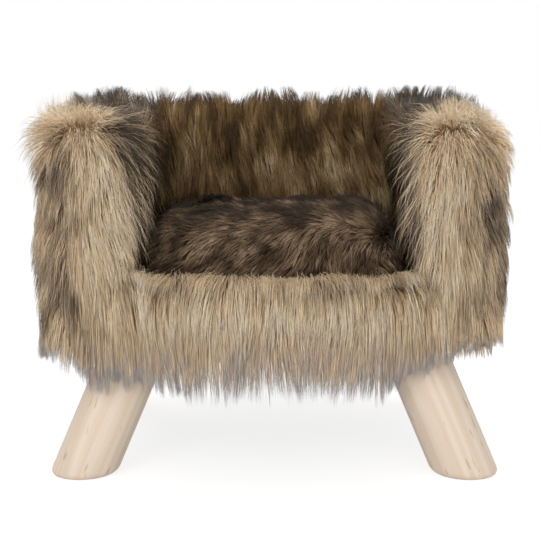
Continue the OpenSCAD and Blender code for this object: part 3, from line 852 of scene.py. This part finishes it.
LOCKS, CLUMPS, STRANDS = 2400, 12000, int(172000 * DENSITY)
PIECE_STRANDS = 12000  # the most in one piece of fur
THICKER = 1.0 if DENSITY == 1 else 1.5  # strands' widths where fewer are grown
LOCK_SIZES = 0.74, 1.28  # times the length that a lock's strands have over the crest
LOCK_LENGTHS, CLUMP_LENGTHS, STRAND_LENGTHS = (0.040, 0.052), (0.034, 0.050), (0.033, 0.048)
STRAND_WIDTHS = 0.00032, 0.00072
LOCK_SPREAD, CLUMP_SPREAD, STRAND_SPREAD = 0.10, 0.08, 0.07  # scatter about the combing
FLY, INNER_FLY = 0.04, 0.11  # share of long loose hairs, and that on the arms' inner edges
UNDER_FROM = 0.86  # of the draws from 0 to 1, those over this are undercoat
SPIKY = 0.16  # share of the crest's locks that are thin dark points
FRINGE_RAGGED, CREST_RAGGED = (0.014, 0.006), (0.019, 0.007)  # by lock and by clump
INSIDE_TOP_Z = 0.337  # the inside's own colour ends at this height
PALE_TIPPED = 0.86  # share of the lowest strands
PALE_SHADE, PALE_MOST, OTHERS_LEAST = 0.05, 0.11, 0.16


def thickness_of_pile(points):
    """More strands where they hang past the hem and where they part at a whorl."""
    at_whorl = np.exp(-((whorl_distance(points) / 0.03) ** 2))
    return 1 + 1.3 * smoothstep(0.17, 0.15, points[:, 2]) + 1.0 * at_whorl


def worn(points):
    """Where fur grows: over the hem, and inside over the seat deck."""
    floor = np.where(in_seat(points), SEAT_HIGH[2] + 0.01, HEM_Z + 0.001)
    return points[:, 2] > floor


def roots_on_walls(surface, count, rng):
    """Where strands grow from the walls, and the normals there."""
    points = scattered(surface, count, rng, worn, thickness_of_pile)
    points = onto(wall_distance, points, rounds=1)
    return points, normals_at(wall_distance, points)


def strands_on_walls(points, normals, length, spread, rng, drifts):
    """The walls' strands, combed, lifted and lengthened by where they grow."""
    (x, _, z), n = points.T, len(points)
    comb, crest, whorl, flat = wall_comb(points, normals, drifts)
    comb = comb + (spread + 0.42 * whorl)[:, None] * rng.normal(size=(n, 3))
    seat = in_seat(points)
    outer = smoothstep(0.195, 0.207, np.abs(x)) * ~seat
    left = outer * (x < 0)
    low = smoothstep(0.185, 0.145, z) * ~seat
    pressed = seat & (z < 0.23)
    high = smoothstep(0.26, 0.32, z)
    ends = smoothstep(0.080, 0.125, np.abs(x))
    lift = rng.uniform(0.85, 1.15, n) + 0.5 * crest + 0.30 * whorl - (0.35 - 0.25 * ends) * flat
    lift += (0.20 - 0.20 * high) * outer + (0.15 - 0.15 * high + 0.2 * low) * left
    lift = lift * np.where(pressed, 0.5, 1.0) * (1 - 0.25 * low * (1 - outer))
    droop = rng.uniform(0.15, 0.45, n) * (1 - 0.9 * crest) * (1 - 0.5 * whorl)
    droop = (droop + (0.7 - 0.35 * ends) * flat) * (1 - 0.5 * low * left)
    wave = 0.05 * rng.normal(size=(n, 3))
    longer = 1 + 0.50 * low + 0.20 * crest + (0.16 - 0.12 * high) * left
    longer += 0.10 * left * smoothstep(0.23, 0.19, z)
    edge = smoothstep(0.25, 0.5, -normals[:, 0]) * smoothstep(0.25, 0.5, normals[:, 2])
    longer = longer + 0.35 * edge * (x < -0.19)
    longer += 0.25 * flat * (1 - seat)
    length = length * longer * np.where(pressed, 0.65, 1.0)
    return paths(points, normals, comb, length, lift, droop, wall_distance, wave, 0.010)


def reach_of(tips, lock, nearest, spiky, rng):
    """How low, how high and how far to the sides each strand may reach, ragged by locks."""
    fringe = LOWEST_TIP_Z + hem_rise(tips) + FRINGE_RAGGED[1] * rng.random(CLUMPS)[nearest]
    fringe += FRINGE_RAGGED[0] * rng.random(LOCKS)[lock]
    by_lock = CREST_RAGGED[0] * rng.random(LOCKS)[lock]
    top = HIGHEST_TIP_Z - by_lock - CREST_RAGGED[1] * rng.random(CLUMPS)[nearest]
    top[spiky] = HIGHEST_TIP_Z
    x, y, _ = tips.T
    corner = 0.008 * smoothstep(0.165, 0.185, x) + 0.016 * smoothstep(0.195, 0.222, x)
    top -= smoothstep(-0.05, -0.12, y) * corner
    widest = np.where(x < 0, WIDEST_TIP[0], 0.225 + 0.008 * rng.random(LOCKS)[lock])
    return fringe, top, widest


def held_in(lines, roots, fringe, top, widest):
    """The strands, shortened where they would reach past these or too far in depth."""
    lowest, farthest = lines.min(1), np.abs(lines).max(1)
    room = np.ones(len(lines))
    for start, end, limit in (
        (-roots[:, 2], -lowest[:, 2], -fringe),
        (roots[:, 2], farthest[:, 2], top),
        (np.abs(roots[:, 0]), farthest[:, 0], widest),
        (np.abs(roots[:, 1]), farthest[:, 1], np.full(len(lines), WIDEST_TIP[1])),
    ):
        past = end > limit
        share = (limit - start) / np.maximum(end - start, 1e-6)
        room[past] = np.minimum(room, share)[past]
    return roots[:, None] + (lines - roots[:, None]) * np.clip(room, 0.25, 1)[:, None, None]


def wall_fur(roots, strands, side, other, kept, rng):
    """Pieces of fur for each cover: in its own colour, and in the other where that shows."""
    for number, node in enumerate(COVERS):
        for brown in (False, True):
            main = brown == (number == 2)
            mine = np.flatnonzero((side == number) & (other != main) & kept)
            if not len(mine):
                continue
            fur = "fur" if main else "outer_fur" if number == 2 else "inner_fur"
            looks = (BEIGE, "bed_frame", "beige_fur")
            if brown:
                looks = (BROWN, "bed_frame", "brown_fur")
            # Neighbours stay together: the strands are dealt out by their place
            order = mine[np.argsort(roots[mine, 2] if number > 1 else roots[mine, 1])]
            parts = math.ceil(len(mine) / PIECE_STRANDS)
            name = node.replace("cover", fur)
            fur_pieces(name, order, parts, strands, rng, *looks, node)


def grow_walls(surface):
    rng = np.random.default_rng(11)
    drifts = [Drift(rng, length) for length in (0.05, 0.09, 0.09, 0.09, 0.07, 0.03, 0.055, 0.022)]

    # Small clumps all over, and big pointed locks that draw in some of them
    locks, lock_normals = roots_on_walls(surface, LOCKS, rng)
    lock_size = rng.uniform(*LOCK_SIZES, LOCKS)
    length = rng.uniform(*LOCK_LENGTHS, LOCKS)
    length *= 1 + crest_share(locks, lock_normals) * (lock_size - 1)
    lock_lines = strands_on_walls(locks, lock_normals, length, LOCK_SPREAD, rng, drifts)
    centres, centre_normals = roots_on_walls(surface, CLUMPS, rng)
    lock_of = nearest_of(centres, locks)
    length = rng.uniform(*CLUMP_LENGTHS, CLUMPS)
    length *= 1 + crest_share(centres, centre_normals) * (lock_size[lock_of] - 1)
    centre_lines = strands_on_walls(centres, centre_normals, length, CLUMP_SPREAD, rng, drifts)
    pull = tuftiness(centres, centre_normals) * rng.uniform(0.4, 1.0, CLUMPS)
    centre_lines = drawn_in(centre_lines, centres, locks, lock_lines, lock_of, pull)

    roots, normals = roots_on_walls(surface, STRANDS, rng)
    length = rng.uniform(*STRAND_LENGTHS, STRANDS)
    width = rng.uniform(*STRAND_WIDTHS, STRANDS) * THICKER
    pull = rng.uniform(0.1, 0.5, STRANDS) + 0.45 * tuftiness(roots, normals)
    kind = rng.random(STRANDS)
    across = np.abs(roots[:, 0])
    inner_edge = (across < 0.175) & (across > 0.13) & (roots[:, 1] < -0.1)
    fly = kind < np.where(inner_edge & (roots[:, 2] > 0.27), INNER_FLY, FLY)  # long loose hairs
    under = kind > UNDER_FROM  # short undercoat
    kind_of_hem = rng.random(STRANDS)
    length[fly] *= np.where(inner_edge, 1.5, 1.25)[fly]
    width[fly] *= 0.6
    pull[fly] *= 0.2
    length[under] *= 0.6
    width[under] *= 1.6
    nearest = nearest_of(roots, centres)
    lock = lock_of[nearest]
    crest = crest_share(roots, normals)
    length *= 1 + crest * (lock_size[lock] - 1)
    spiky = (rng.random(LOCKS) < SPIKY)[lock] & (crest > 0.3)  # thin dark points over the crest
    length[spiky] *= 1.25
    width[spiky] *= 0.8
    pull[spiky] = np.maximum(pull[spiky], 0.85)
    lines = strands_on_walls(roots, normals, length, STRAND_SPREAD, rng, drifts)
    lines = drawn_in(lines, roots, centres, centre_lines, nearest, pull)

    limits = reach_of(lines[:, -1], lock, nearest, spiky, rng)
    lines = held_in(lines, roots, *limits)

    shade = wall_shade(roots, normals, drifts)
    shade += 0.05 * rng.normal(size=LOCKS)[lock] + 0.05 * rng.normal(size=CLUMPS)[nearest]
    shade += 0.08 * rng.normal(size=STRANDS) * (1 - 0.5 * smoothstep(0.18, 0.16, roots[:, 2]))
    shade[fly] += np.where(inner_edge, 0.4, 0.2)[fly]
    shade[spiky] -= 0.18
    # Most of the lowest strands have blue-grey tips made paler as painted light; they lie at the
    # low end of the run
    pale_tipped = kind_of_hem < PALE_TIPPED * smoothstep(0.180, 0.158, roots[:, 2])
    pale_tipped &= ~in_seat(roots)
    pale_shade = np.clip(PALE_SHADE + 0.04 * rng.normal(size=STRANDS), 0, PALE_MOST)
    shade = np.where(pale_tipped, pale_shade, np.clip(shade, OTHERS_LEAST, 1))
    side = cover_of(roots + 0.004 * rng.normal(size=roots.shape))
    inward = -normals[:, 0] * np.sign(roots[:, 0]) > 0.5
    under_crest = roots[:, 2] < INSIDE_TOP_Z
    inner = (side < 2) & inward & (roots[:, 1] > -0.150) & under_crest
    # The pile is brown inside and beige outside, the back's too; inside, partly painted shade
    other = inner | ((side == 2) & (normals[:, 1] > 0.2) & under_crest)
    # The back's inner pile leaves the zip slider room to travel
    kept = ~in_zip_path(lines, -np.inf, SLIDER_HIGH[1] + 0.003, 0.009)
    kept |= ~(in_seat(roots) & (roots[:, 1] > 0.05))
    # The arms' inner sides get dark brown: painted shade of the bed's inside
    inner_shade = 0.13 + 0.08 * drifts[4](roots[inner]) + 0.08 * rng.normal(size=inner.sum())
    shade[inner] = np.clip(inner_shade, 0, 0.5)
    wall_fur(roots, (lines, width, shade), side, other, kept, rng)


# Cushion


def signed_pow(values, power):
    return np.sign(values) * np.abs(values) ** power


CUSHION_CENTRE = (CUSHION_LOW + CUSHION_HIGH) / 2
CUSHION_CLUMPS, CUSHION_STRANDS = 2200, int(36000 * DENSITY)
CUSHION_GIRTH = 0.040  # height of the widest line over the cushion's base
CUSHION_RINGS, CUSHION_ROUND = 25, 96
EDGE_RINGS = 7  # of these, how many lie at or under the widest line
CORNER_POWER = 0.36  # how square the cushion is from above
SEAM_PULL = 0.003  # how far its sides pull in between the corners
ZIP_DENT = 0.002
LUMPS = 0.0025


def corner_ring(count):
    """A soft rectangle's outline, from -1 to 1 each way."""
    angle = np.linspace(0, 2 * math.pi, count, endpoint=False)
    return [signed_pow(turned(angle), CORNER_POWER) for turned in (np.cos, np.sin)]


def cushion_dome(inset, drift):
    """Points of the domed form that part.scad gives the cushion, this far inside it."""
    size = CUSHION_HIGH - CUSHION_LOW - np.array([2 * inset, 2 * inset, inset])
    base, top = 0.002, size[2]
    steps = []
    for a in math.pi / 2 * (1 - np.arange(EDGE_RINGS) / (EDGE_RINGS - 1)):
        height = base + (CUSHION_GIRTH - base) * (1 - math.sin(a))
        steps.append((1 - 0.14 * (1 - math.cos(a)), height))
    over = CUSHION_RINGS + 1 - EDGE_RINGS
    for k in range(1, over):
        a = math.pi / 2 * k / over
        height = CUSHION_GIRTH + (top - CUSHION_GIRTH) * math.sin(a) ** 0.86
        steps.append((math.cos(a) ** 0.38, height))
    u, v = corner_ring(CUSHION_ROUND)
    x = u * (size[0] / 2 - SEAM_PULL * (1 - v * v))
    y = v * (size[1] / 2 - SEAM_PULL * (1 - u * u))
    rings = [np.stack([s * x, s * y, np.full(len(x), height)], 1) for s, height in steps]
    points = np.concatenate([*rings, [[0, 0, top]]])
    at_zip = (points[:, 1] > 0.4 * size[1]) & (np.abs(points[:, 0]) < 0.108)
    at_zip &= np.abs(points[:, 2] + CUSHION_LOW[2] - ZIP_Z) < 0.018
    points[at_zip, 1] -= ZIP_DENT
    points[:, 2] += LUMPS * smoothstep(CUSHION_GIRTH, top, points[:, 2]) * drift(points)
    return points + np.array([*CUSHION_CENTRE[:2], CUSHION_LOW[2]])


def cushion_distance(points):
    """Height over a soft box inside the cushion's pile, near enough to comb its fur by."""
    low = CUSHION_LOW + np.array([0.045, 0.045, 0.002])
    high = CUSHION_HIGH - np.array([0.045, 0.045, 0.040])
    return box_distance(points, low, high) - 0.033


def make_cushion():
    rng = np.random.default_rng(5)
    drift = Drift(rng, 0.09)
    outer, inner, filling = (cushion_dome(inset, drift) for inset in (0.004, 0.006, 0.009))
    dome = dome_faces(0, CUSHION_RINGS, CUSHION_ROUND)
    edge, first = around(CUSHION_ROUND), len(outer)
    lining = [tuple(reversed(face)) for face in dome_faces(first, CUSHION_RINGS, CUSHION_ROUND)]
    rim = [(k, first + k, first + n, n) for k, n in edge]
    mesh = mesh_of("cushion_backing", np.concatenate([outer, inner]), dome + lining + rim)
    looks = (CUSHION_BACKING, "cushion", "cushion_fur", "cushion_cover")
    new_object("cushion_backing", mesh, *looks)

    points = np.concatenate([filling, [[*CUSHION_CENTRE[:2], CUSHION_LOW[2] + 0.002]]])
    mesh = mesh_of("cushion_wadding", points, dome + [(n, k, len(filling)) for k, n in edge])
    wadding = new_object("cushion_wadding", mesh, FIBRE, "cushion", "fibre", "cushion_filling")

    surface = mesh_of("cushion_roots", outer, dome)
    corners, corner_normals = vertices_of(surface), vertices_of(surface, "normal")
    drifts = [Drift(rng, length) for length in (0.16, 0.16, 0.05, 0.05, 0.035)]

    def rooted(number):
        """A few more than asked are scattered, because none grow where the zip lies."""
        over = CUSHION_LOW[2] + 0.006
        points = scattered(surface, int(1.1 * number), rng, lambda at: at[:, 2] > over)
        zipped = (points[:, 1] > ZIP_LOW[1] - 0.004) & (np.abs(points[:, 0]) < ZIP_HIGH[0] + 0.003)
        zipped &= np.abs(points[:, 2] - ZIP_Z - 0.002) < 0.015
        points = points[~zipped][:number]
        return points, corner_normals[nearest_of(points, corners)]

    def grown(points, normals, length, spread):
        n = len(points)
        angle = 0.35 * drifts[0](points) + 0.15 * drifts[2](points) + 3.6 - 4.5 * points[:, 0]
        flow = np.stack([np.cos(angle), np.sin(angle), np.zeros(n)], axis=1)
        out = (points - CUSHION_CENTRE) / (CUSHION_HIGH - CUSHION_LOW) * 2 * [1, 1, 0]
        flow += 1.6 * smoothstep(0.70, 0.95, np.abs(out).max(1))[:, None] * out
        flow = flow - (flow * normals).sum(1, keepdims=True) * normals
        comb = unit(unit(flow) + spread * rng.normal(size=(n, 3)))
        wall = smoothstep(0.8, 0.3, normals[:, 2])
        comb = blended(wall, comb, np.tile([0.0, 0.0, -0.4], (n, 1)) + 0.6 * comb)
        lift = rng.uniform(0.35, 0.6, n) + 0.45 * wall
        droop = 0.1 * rng.random(n)
        wave = 0.10 * rng.normal(size=(n, 3))
        return paths(points, normals, comb, length, lift, droop, cushion_distance, wave, 0.0)

    centres, centre_normals = rooted(CUSHION_CLUMPS)
    length = rng.uniform(0.018, 0.025, CUSHION_CLUMPS)
    centre_lines = grown(centres, centre_normals, length, 0.18)
    roots, normals = rooted(CUSHION_STRANDS)
    lines = grown(roots, normals, rng.uniform(0.014, 0.023, CUSHION_STRANDS), 0.12)
    nearest = nearest_of(roots, centres)
    pull = rng.uniform(0.15, 0.6, CUSHION_STRANDS)
    lines = drawn_in(lines, roots, centres, centre_lines, nearest, pull)
    low = CUSHION_LOW - np.array([0.010, 0.010, -0.0005])
    high = CUSHION_HIGH + np.array([0.010, 0.010, 0.008])
    lines = np.clip(lines, low, high)
    # The slider's path along the zip stays clear
    clear = ~in_zip_path(lines, ZIP_LOW[1], np.inf, 0.0075)
    lines, roots, nearest, number = lines[clear], roots[clear], nearest[clear], int(clear.sum())
    # Painted shade: the cushion is paler only along its front edge and darker behind it, at its rim
    # by the walls and most at the back.
    shade = 0.67 + 0.14 * drifts[3](roots) + 0.10 * drifts[4](roots)
    half = (CUSHION_HIGH - CUSHION_LOW)[:2] / 2
    from_middle = (roots[:, :2] - CUSHION_CENTRE[:2]) / half
    rim = smoothstep(0.62, 0.92, np.abs(from_middle).max(1))
    rim *= np.where(roots[:, 1] > CUSHION_CENTRE[1] - 0.02, 1.0, 0.15)
    rearward = from_middle[:, 1]
    front, rear = smoothstep(-1.05, -0.50, rearward), smoothstep(0.0, 0.5, rearward)
    shade -= 0.25 * rim + 0.62 * front + 0.25 * rear
    shade += 0.12 * rng.normal(size=CUSHION_CLUMPS)[nearest] + 0.12 * rng.normal(size=number)
    width = rng.uniform(0.0004, 0.0008, number) * THICKER
    strands, order = (lines, width, np.clip(shade, 0, 1)), np.argsort(roots[:, 0])
    looks = (CUSHION_FUR, "cushion", "cushion_fur", "cushion_cover")
    fur_pieces("cushion_fur", order, 3, strands, rng, *looks)


# Cloths and zip


def area_of(low, high):
    """The corners of a box's upper face, anticlockwise from above."""
    (x0, y0, _), (x1, y1, top) = low, high
    return [(x0, y0, top), (x1, y0, top), (x1, y1, top), (x0, y1, top)]


def grid_places(low, high, cuts, cells):
    """Where a cloth's grid lines lie, 0 to 1: evenly, and one along each cut."""
    even = np.linspace(low, high, cells + 1)
    kept = [v for v in even if min(abs(v - cut) for cut in cuts) > 0.003]
    return (np.array(sorted([*kept, *cuts])) - low) / (high - low)


def make_cloths():
    flat = tuple((SEAT_HIGH - SEAT_LOW)[:2])
    mesh = cloth("seat_deck_weave", area_of(SEAT_LOW, SEAT_HIGH), (66, 50), 0.0012, 0.0001)
    looks = (DECK_CLOTH, "bed_frame", "deck_cloth", "seat_deck_cloth")
    deck = new_object("seat_deck_weave", mesh, *looks)

    # The dust cover is cut out round the wedges
    (x0, y0, _), (x1, y1, _) = DUST_LOW, DUST_HIGH
    cut_x, cut_y = (WEDGE_LOW[0] - WEDGE_GAP, WEDGE_HIGH[0] + WEDGE_GAP), WEDGE_LOW[1] - WEDGE_GAP
    along = grid_places(x0, x1, [-cut_x[1], -cut_x[0], *cut_x], 80)
    across = grid_places(y0, y1, [-cut_y, cut_y], 60)

    def cut_out(at):
        return cut_x[0] < abs(at[0]) < cut_x[1] and abs(at[1]) > cut_y

    corners = area_of(DUST_LOW, DUST_HIGH)
    mesh = cloth("dust_cover_cloth", corners, (along, across), 0.0007, 0.00004, cut_out)
    dust = new_object("dust_cover_cloth", mesh, DUST_CLOTH, "bed_frame", "dust_cloth", "dust_cover")
    area = (x1 - x0) * (y1 - y0) - 4 * (cut_x[1] - cut_x[0]) * (y1 - cut_y)

    # The cushion's plain base, puckered a little along its seam
    size, middle = (PANEL_HIGH - PANEL_LOW)[:2], (PANEL_LOW + PANEL_HIGH) / 2
    angle = np.linspace(0, 2 * math.pi, 160, endpoint=False)
    x, y = (line / 2 for line in corner_ring(len(angle)))
    rings, shares = [], np.linspace(1, 0.06, 24)
    for share in shares:
        pucker = 0.0005 * np.sin(angle * 60) * smoothstep(0.90, 1.0, share)
        lift = 0.0004 * (1 + np.sin(5 * angle + 9 * share)) * smoothstep(1.0, 0.8, share)
        rings.append(np.stack([share * x * size[0], share * y * size[1], pucker + lift], 1))
    points = np.concatenate([*rings, [[0, 0, 0.0004]]]) + [*middle[:2], PANEL_LOW[2] + 0.0013]
    name = "cushion_base_cloth"
    mesh = mesh_of(name, points, dome_faces(0, len(shares), len(angle)))
    mesh = evaluated(name, mesh, "SOLIDIFY", thickness=0.0008, offset=-1)
    base = new_object(name, mesh, DECK_CLOTH, "cushion", "deck_cloth", "cushion_base_panel")
    area = 2 * (size / 2).prod() * abs(np.sum(x * np.roll(y, -1) - y * np.roll(x, -1)))
    tuple(size)


COIL_RADIUS, COIL_WIRE, COIL_TURNS = 0.0016, 0.00034, 104
STITCH_STEP, THREAD = 0.0034, 0.00022


def make_zip():
    """A coil zip on its tape, sewn down by two rows of stitches, and its slider."""
    low, high = ZIP_LOW, ZIP_HIGH
    face = low[1] + 0.001
    tapes = []
    for down, up in ((low[2], ZIP_Z - 0.0004), (ZIP_Z + 0.0004, high[2])):
        places = ((high, down), (low, down), (low, up), (high, up))
        corners = [(end[0], face, height) for end, height in places]
        tapes.append(cloth("zip_tape", corners, (120, 7), 0.0008, 0.0001))
    tape = new_object("zip_tape", joined(*tapes), ZIP_TAPE, "cushion", "zip_tape", "cushion_zip")

    half, middle = high[0] - 0.0055, COIL_RADIUS - COIL_WIRE
    t = np.linspace(0, 1, COIL_TURNS * 10 + 1)
    spin = 2 * math.pi * COIL_TURNS * t
    depth = high[1] - COIL_RADIUS + middle * np.cos(spin)
    coil = np.stack([-half + 2 * half * t, depth, ZIP_Z + middle * np.sin(spin)], axis=1)
    looks = (ZIP_COIL, "cushion", "zip_tape", "cushion_zip")
    new_object("zip_coil", tube("zip_coil", [coil], COIL_WIRE, 5), *looks)
    stitches = []
    for height in (low[2] + 0.0025, high[2] - 0.0025):
        for x in np.arange(low[0] + 0.003, high[0] - 0.003, STITCH_STEP):
            bend = ((0, -0.0003), (0.0003, 0.0002), (0.0021, 0.0002), (0.0024, -0.0003))
            stitches.append([(x + on, face + out, height) for on, out in bend])
    new_object("zip_stitches", tube("zip_stitches", stitches, THREAD, 5), *looks)

    # The slider is the CAD's own with its edges rounded, and a low bridge where a tab would hang
    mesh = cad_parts["zip_slider"].data.copy()
    with editing(mesh) as bm:
        bmesh.ops.remove_doubles(bm, verts=bm.verts, dist=1e-5)
        bmesh.ops.dissolve_limit(bm, angle_limit=0.02, verts=bm.verts, edges=bm.edges)
    edges = {"width": 0.0007, "segments": 3, "limit_method": "ANGLE", "angle_limit": 0.6}
    mesh = evaluated("zip_slider_body", mesh, "BEVEL", **edges)
    turn = np.linspace(0, math.pi, 13)
    x = (SLIDER_LOW[0] + SLIDER_HIGH[0]) / 2 + 0.0030 * np.cos(turn)
    y = SLIDER_HIGH[1] - 0.0004 + 0.0013 * np.sin(turn)
    bridge = np.stack([x, y, np.full(len(turn), ZIP_Z)], 1)
    mesh = joined(mesh, tube("bridge", [bridge], 0.0006, 8))
    shaded(mesh, False)
    new_object("zip_slider_body", mesh, ZINC, "zip_slider", "zinc_steel", "zip_slider")


# Legs


LEG_RADIUS = 0.0315
LEG_SEAT, LEG_FOOT = (0.146, 0.124, 0.114), (0.19439, 0.14002, 0)  # the rear right leg's axis
LEG_ROUND = 72  # points round a leg
BORE_RADIUS, BORE_DEPTH = 0.0041, 0.034  # for the hanger bolt
TOP_EASE, FOOT_ROUND = 0.0012, 0.0075


def leg_mesh(name, seat, foot):
    """A round leg from its seat under the wedge to the floor, its foot cut level and rounded."""
    axis = (foot - seat) / np.linalg.norm(foot - seat)
    side = np.cross(axis, [0, 0, 1])
    side /= np.linalg.norm(side)
    other = np.cross(axis, side)
    angle = np.linspace(0, 2 * math.pi, LEG_ROUND, endpoint=False)
    spoke = np.cos(angle)[:, None] * side + np.sin(angle)[:, None] * other

    def on_floor(scale):
        """How far down the axis each spoke's line meets the floor."""
        start = seat + scale * LEG_RADIUS * spoke
        return -start[:, 2] / axis[2]

    bore = BORE_RADIUS / LEG_RADIUS
    rings = [(bore, BORE_DEPTH), (bore, 0), (1 - TOP_EASE / LEG_RADIUS, 0), (1.0, TOP_EASE)]
    rings = [(scale, np.full(LEG_ROUND, float(down))) for scale, down in rings]
    rings += [(1.0, share * on_floor(1.0)) for share in np.linspace(0.12, 0.9, 9)]
    for turn in np.linspace(0, math.pi / 2, 7):
        scale = 1 - FOOT_ROUND * (1 - math.cos(turn)) / LEG_RADIUS
        rings.append((scale, on_floor(scale) + FOOT_ROUND * (1 - math.sin(turn)) / axis[2]))
    points = [seat + scale * LEG_RADIUS * spoke + down[:, None] * axis for scale, down in rings]
    points = np.concatenate([*points, [seat + BORE_DEPTH * axis, foot]])
    faces = [(a, d, c, b) for a, b, c, d in ring_faces(0, len(rings), LEG_ROUND)]
    last = (len(rings) - 1) * LEG_ROUND
    faces += [(k, n, len(points) - 2) for k, n in around(LEG_ROUND)]
    faces += [(last + n, last + k, len(points) - 1) for k, n in around(LEG_ROUND)]
    mesh = mesh_of(name, points, faces)
    with editing(mesh) as bm:
        bmesh.ops.recalc_face_normals(bm, faces=bm.faces)
    # The grain runs down the leg and is off its middle, so the growth rings show as long bands
    away = points - seat
    turn = (hash_of(name) % 97) / 97 * 2 * math.pi
    a, b = away @ side, away @ other
    x = a * math.cos(turn) - b * math.sin(turn) + 0.05
    y = a * math.sin(turn) + b * math.cos(turn) + 0.02
    layer = mesh.attributes.new("grain", "FLOAT_VECTOR", "POINT")
    layer.data.foreach_set("vector", np.stack([x, y, away @ axis], axis=1).ravel())
    return mesh


def hash_of(name):
    """A number that stays the same for a name in every run."""
    return sum((k + 1) * ord(letter) for k, letter in enumerate(name))


def make_legs():
    """The legs, whose axes come from part.scad."""
    for end, sy in (("front", -1), ("rear", 1)):
        for side, sx in (("left", -1), ("right", 1)):
            node = f"{end}_{side}_leg"
            seat, foot = (np.array(place) * (sx, sy, 1) for place in (LEG_SEAT, LEG_FOOT))
            mesh = leg_mesh(f"{node}_wood", seat, foot)
            new_object(f"{node}_wood", mesh, PINE_LEG, "bed_frame", "leg_pine", node)


# CAD nodes that stay


FINISHES = {
    "base_board": PLYWOOD,
    "panel": PLYWOOD,
    "corner_block": PINE_BLOCK,
    "foam": FOAM,
    "wedge": WEDGE_WOOD,
    "screws": ZINC,
    "staples": ZINC,
    "inserts": ZINC,
    "bolts": ZINC,
}


def paint_nodes():
    for name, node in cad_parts.items():
        for part, material in FINISHES.items():
            if part in name:
                for place in node.material_slots:
                    place.material = material


# Floor, light and camera


FLOOR_REACH = 6
FLOOR_LIT, FLOOR_SEEN = 0.82, 0.40  # its grey in the light it throws back, and in view
FLOOR_GLOW = 0.78  # added in view, so that the floor is white and keeps a faint shadow
SKY_LIGHT, SKY_SEEN = 0.55, 1.0


def make_stage():
    f = FLOOR_REACH
    mesh = mesh_of("floor", [(-f, -f, 0), (f, -f, 0), (f, f, 0), (-f, f, 0)], [(0, 1, 2, 3)])
    floor = bpy.data.objects.new("floor", mesh)
    bpy.context.scene.collection.objects.link(floor)
    s = Shader("floor", roughness=0.9, specular=0.05)
    rays = s.node("ShaderNodeLightPath").outputs
    seen = s.maths("MAXIMUM", rays["Is Camera Ray"], rays["Is Glossy Ray"])
    seen = s.maths("MAXIMUM", seen, rays["Is Transmission Ray"])
    s.colour(s.mix(seen, (*[FLOOR_LIT] * 3, 1), (*[FLOOR_SEEN] * 3, 1)))
    glow = s.node("ShaderNodeEmission", {"Strength": s.maths("MULTIPLY", seen, FLOOR_GLOW)})
    both = s.node("ShaderNodeAddShader", {0: s.surface.outputs[0], 1: glow.outputs[0]})
    s.feed(s.nodes["Material Output"], {"Surface": both.outputs[0]})
    floor.data.materials.append(s.material)

    world = bpy.data.worlds.new("studio")
    bpy.context.scene.world = world
    sky = Nodes(world)
    rays = sky.node("ShaderNodeLightPath").outputs
    seen = sky.maths("MAXIMUM", rays["Is Camera Ray"], rays["Is Glossy Ray"])
    level = sky.node("ShaderNodeMix", {0: seen, 2: SKY_LIGHT, 3: SKY_SEEN}, data_type="FLOAT")
    sky.feed(sky.nodes["Background"], {"Color": (1, 1, 1, 1), "Strength": level.outputs[0]})


LAMPS = (  # name, place, side in metres, power in watts
    ("key", (-0.8, -1.8, 1.15), 1.1, 13),
    ("front", (0.5, -1.9, 0.5), 1.4, 10),
    ("top", (0.2, 0.4, 2.1), 1.4, 10),
    ("rear", (-0.9, 1.8, 1.1), 1.3, 9),
)
LAMP_AIM = Vector((0, 0, 0.2))


def make_light():
    for name, place, size, power in LAMPS:
        data = bpy.data.lights.new(name, "AREA")
        data.shape, data.size, data.energy = "SQUARE", size, power
        made = bpy.data.objects.new(name, data)
        made.location = place
        made.rotation_euler = (LAMP_AIM - Vector(place)).to_track_quat("-Z", "Y").to_euler()
        bpy.context.scene.collection.objects.link(made)


SENSOR, PICTURE = 36, 540  # millimetres and pixels across
LENS, SHIFT = 1380, -4.5  # pixels
CAMERA_PLACE, CAMERA_DOWN = (0, -1.495, 0.428), 9.19  # metres and degrees


def make_camera():
    """The photograph's view: a long lens in front, a little above the bed's top."""
    data = bpy.data.cameras.new("camera")
    data.sensor_width = SENSOR
    data.lens = SENSOR * LENS / PICTURE
    data.shift_x = SHIFT / PICTURE
    made = bpy.data.objects.new("camera", data)
    made.location = CAMERA_PLACE
    made.rotation_euler = (math.radians(90 - CAMERA_DOWN), 0, 0)
    bpy.context.scene.collection.objects.link(made)
    bpy.context.scene.camera = made


make_camera()
make_stage()
make_light()
paint_nodes()
walls = backing_surface()
backing_pieces(walls)
grow_walls(walls)
make_cushion()
make_cloths()
make_zip()
make_legs()

bpy.context.scene.view_settings.view_transform = "Standard"
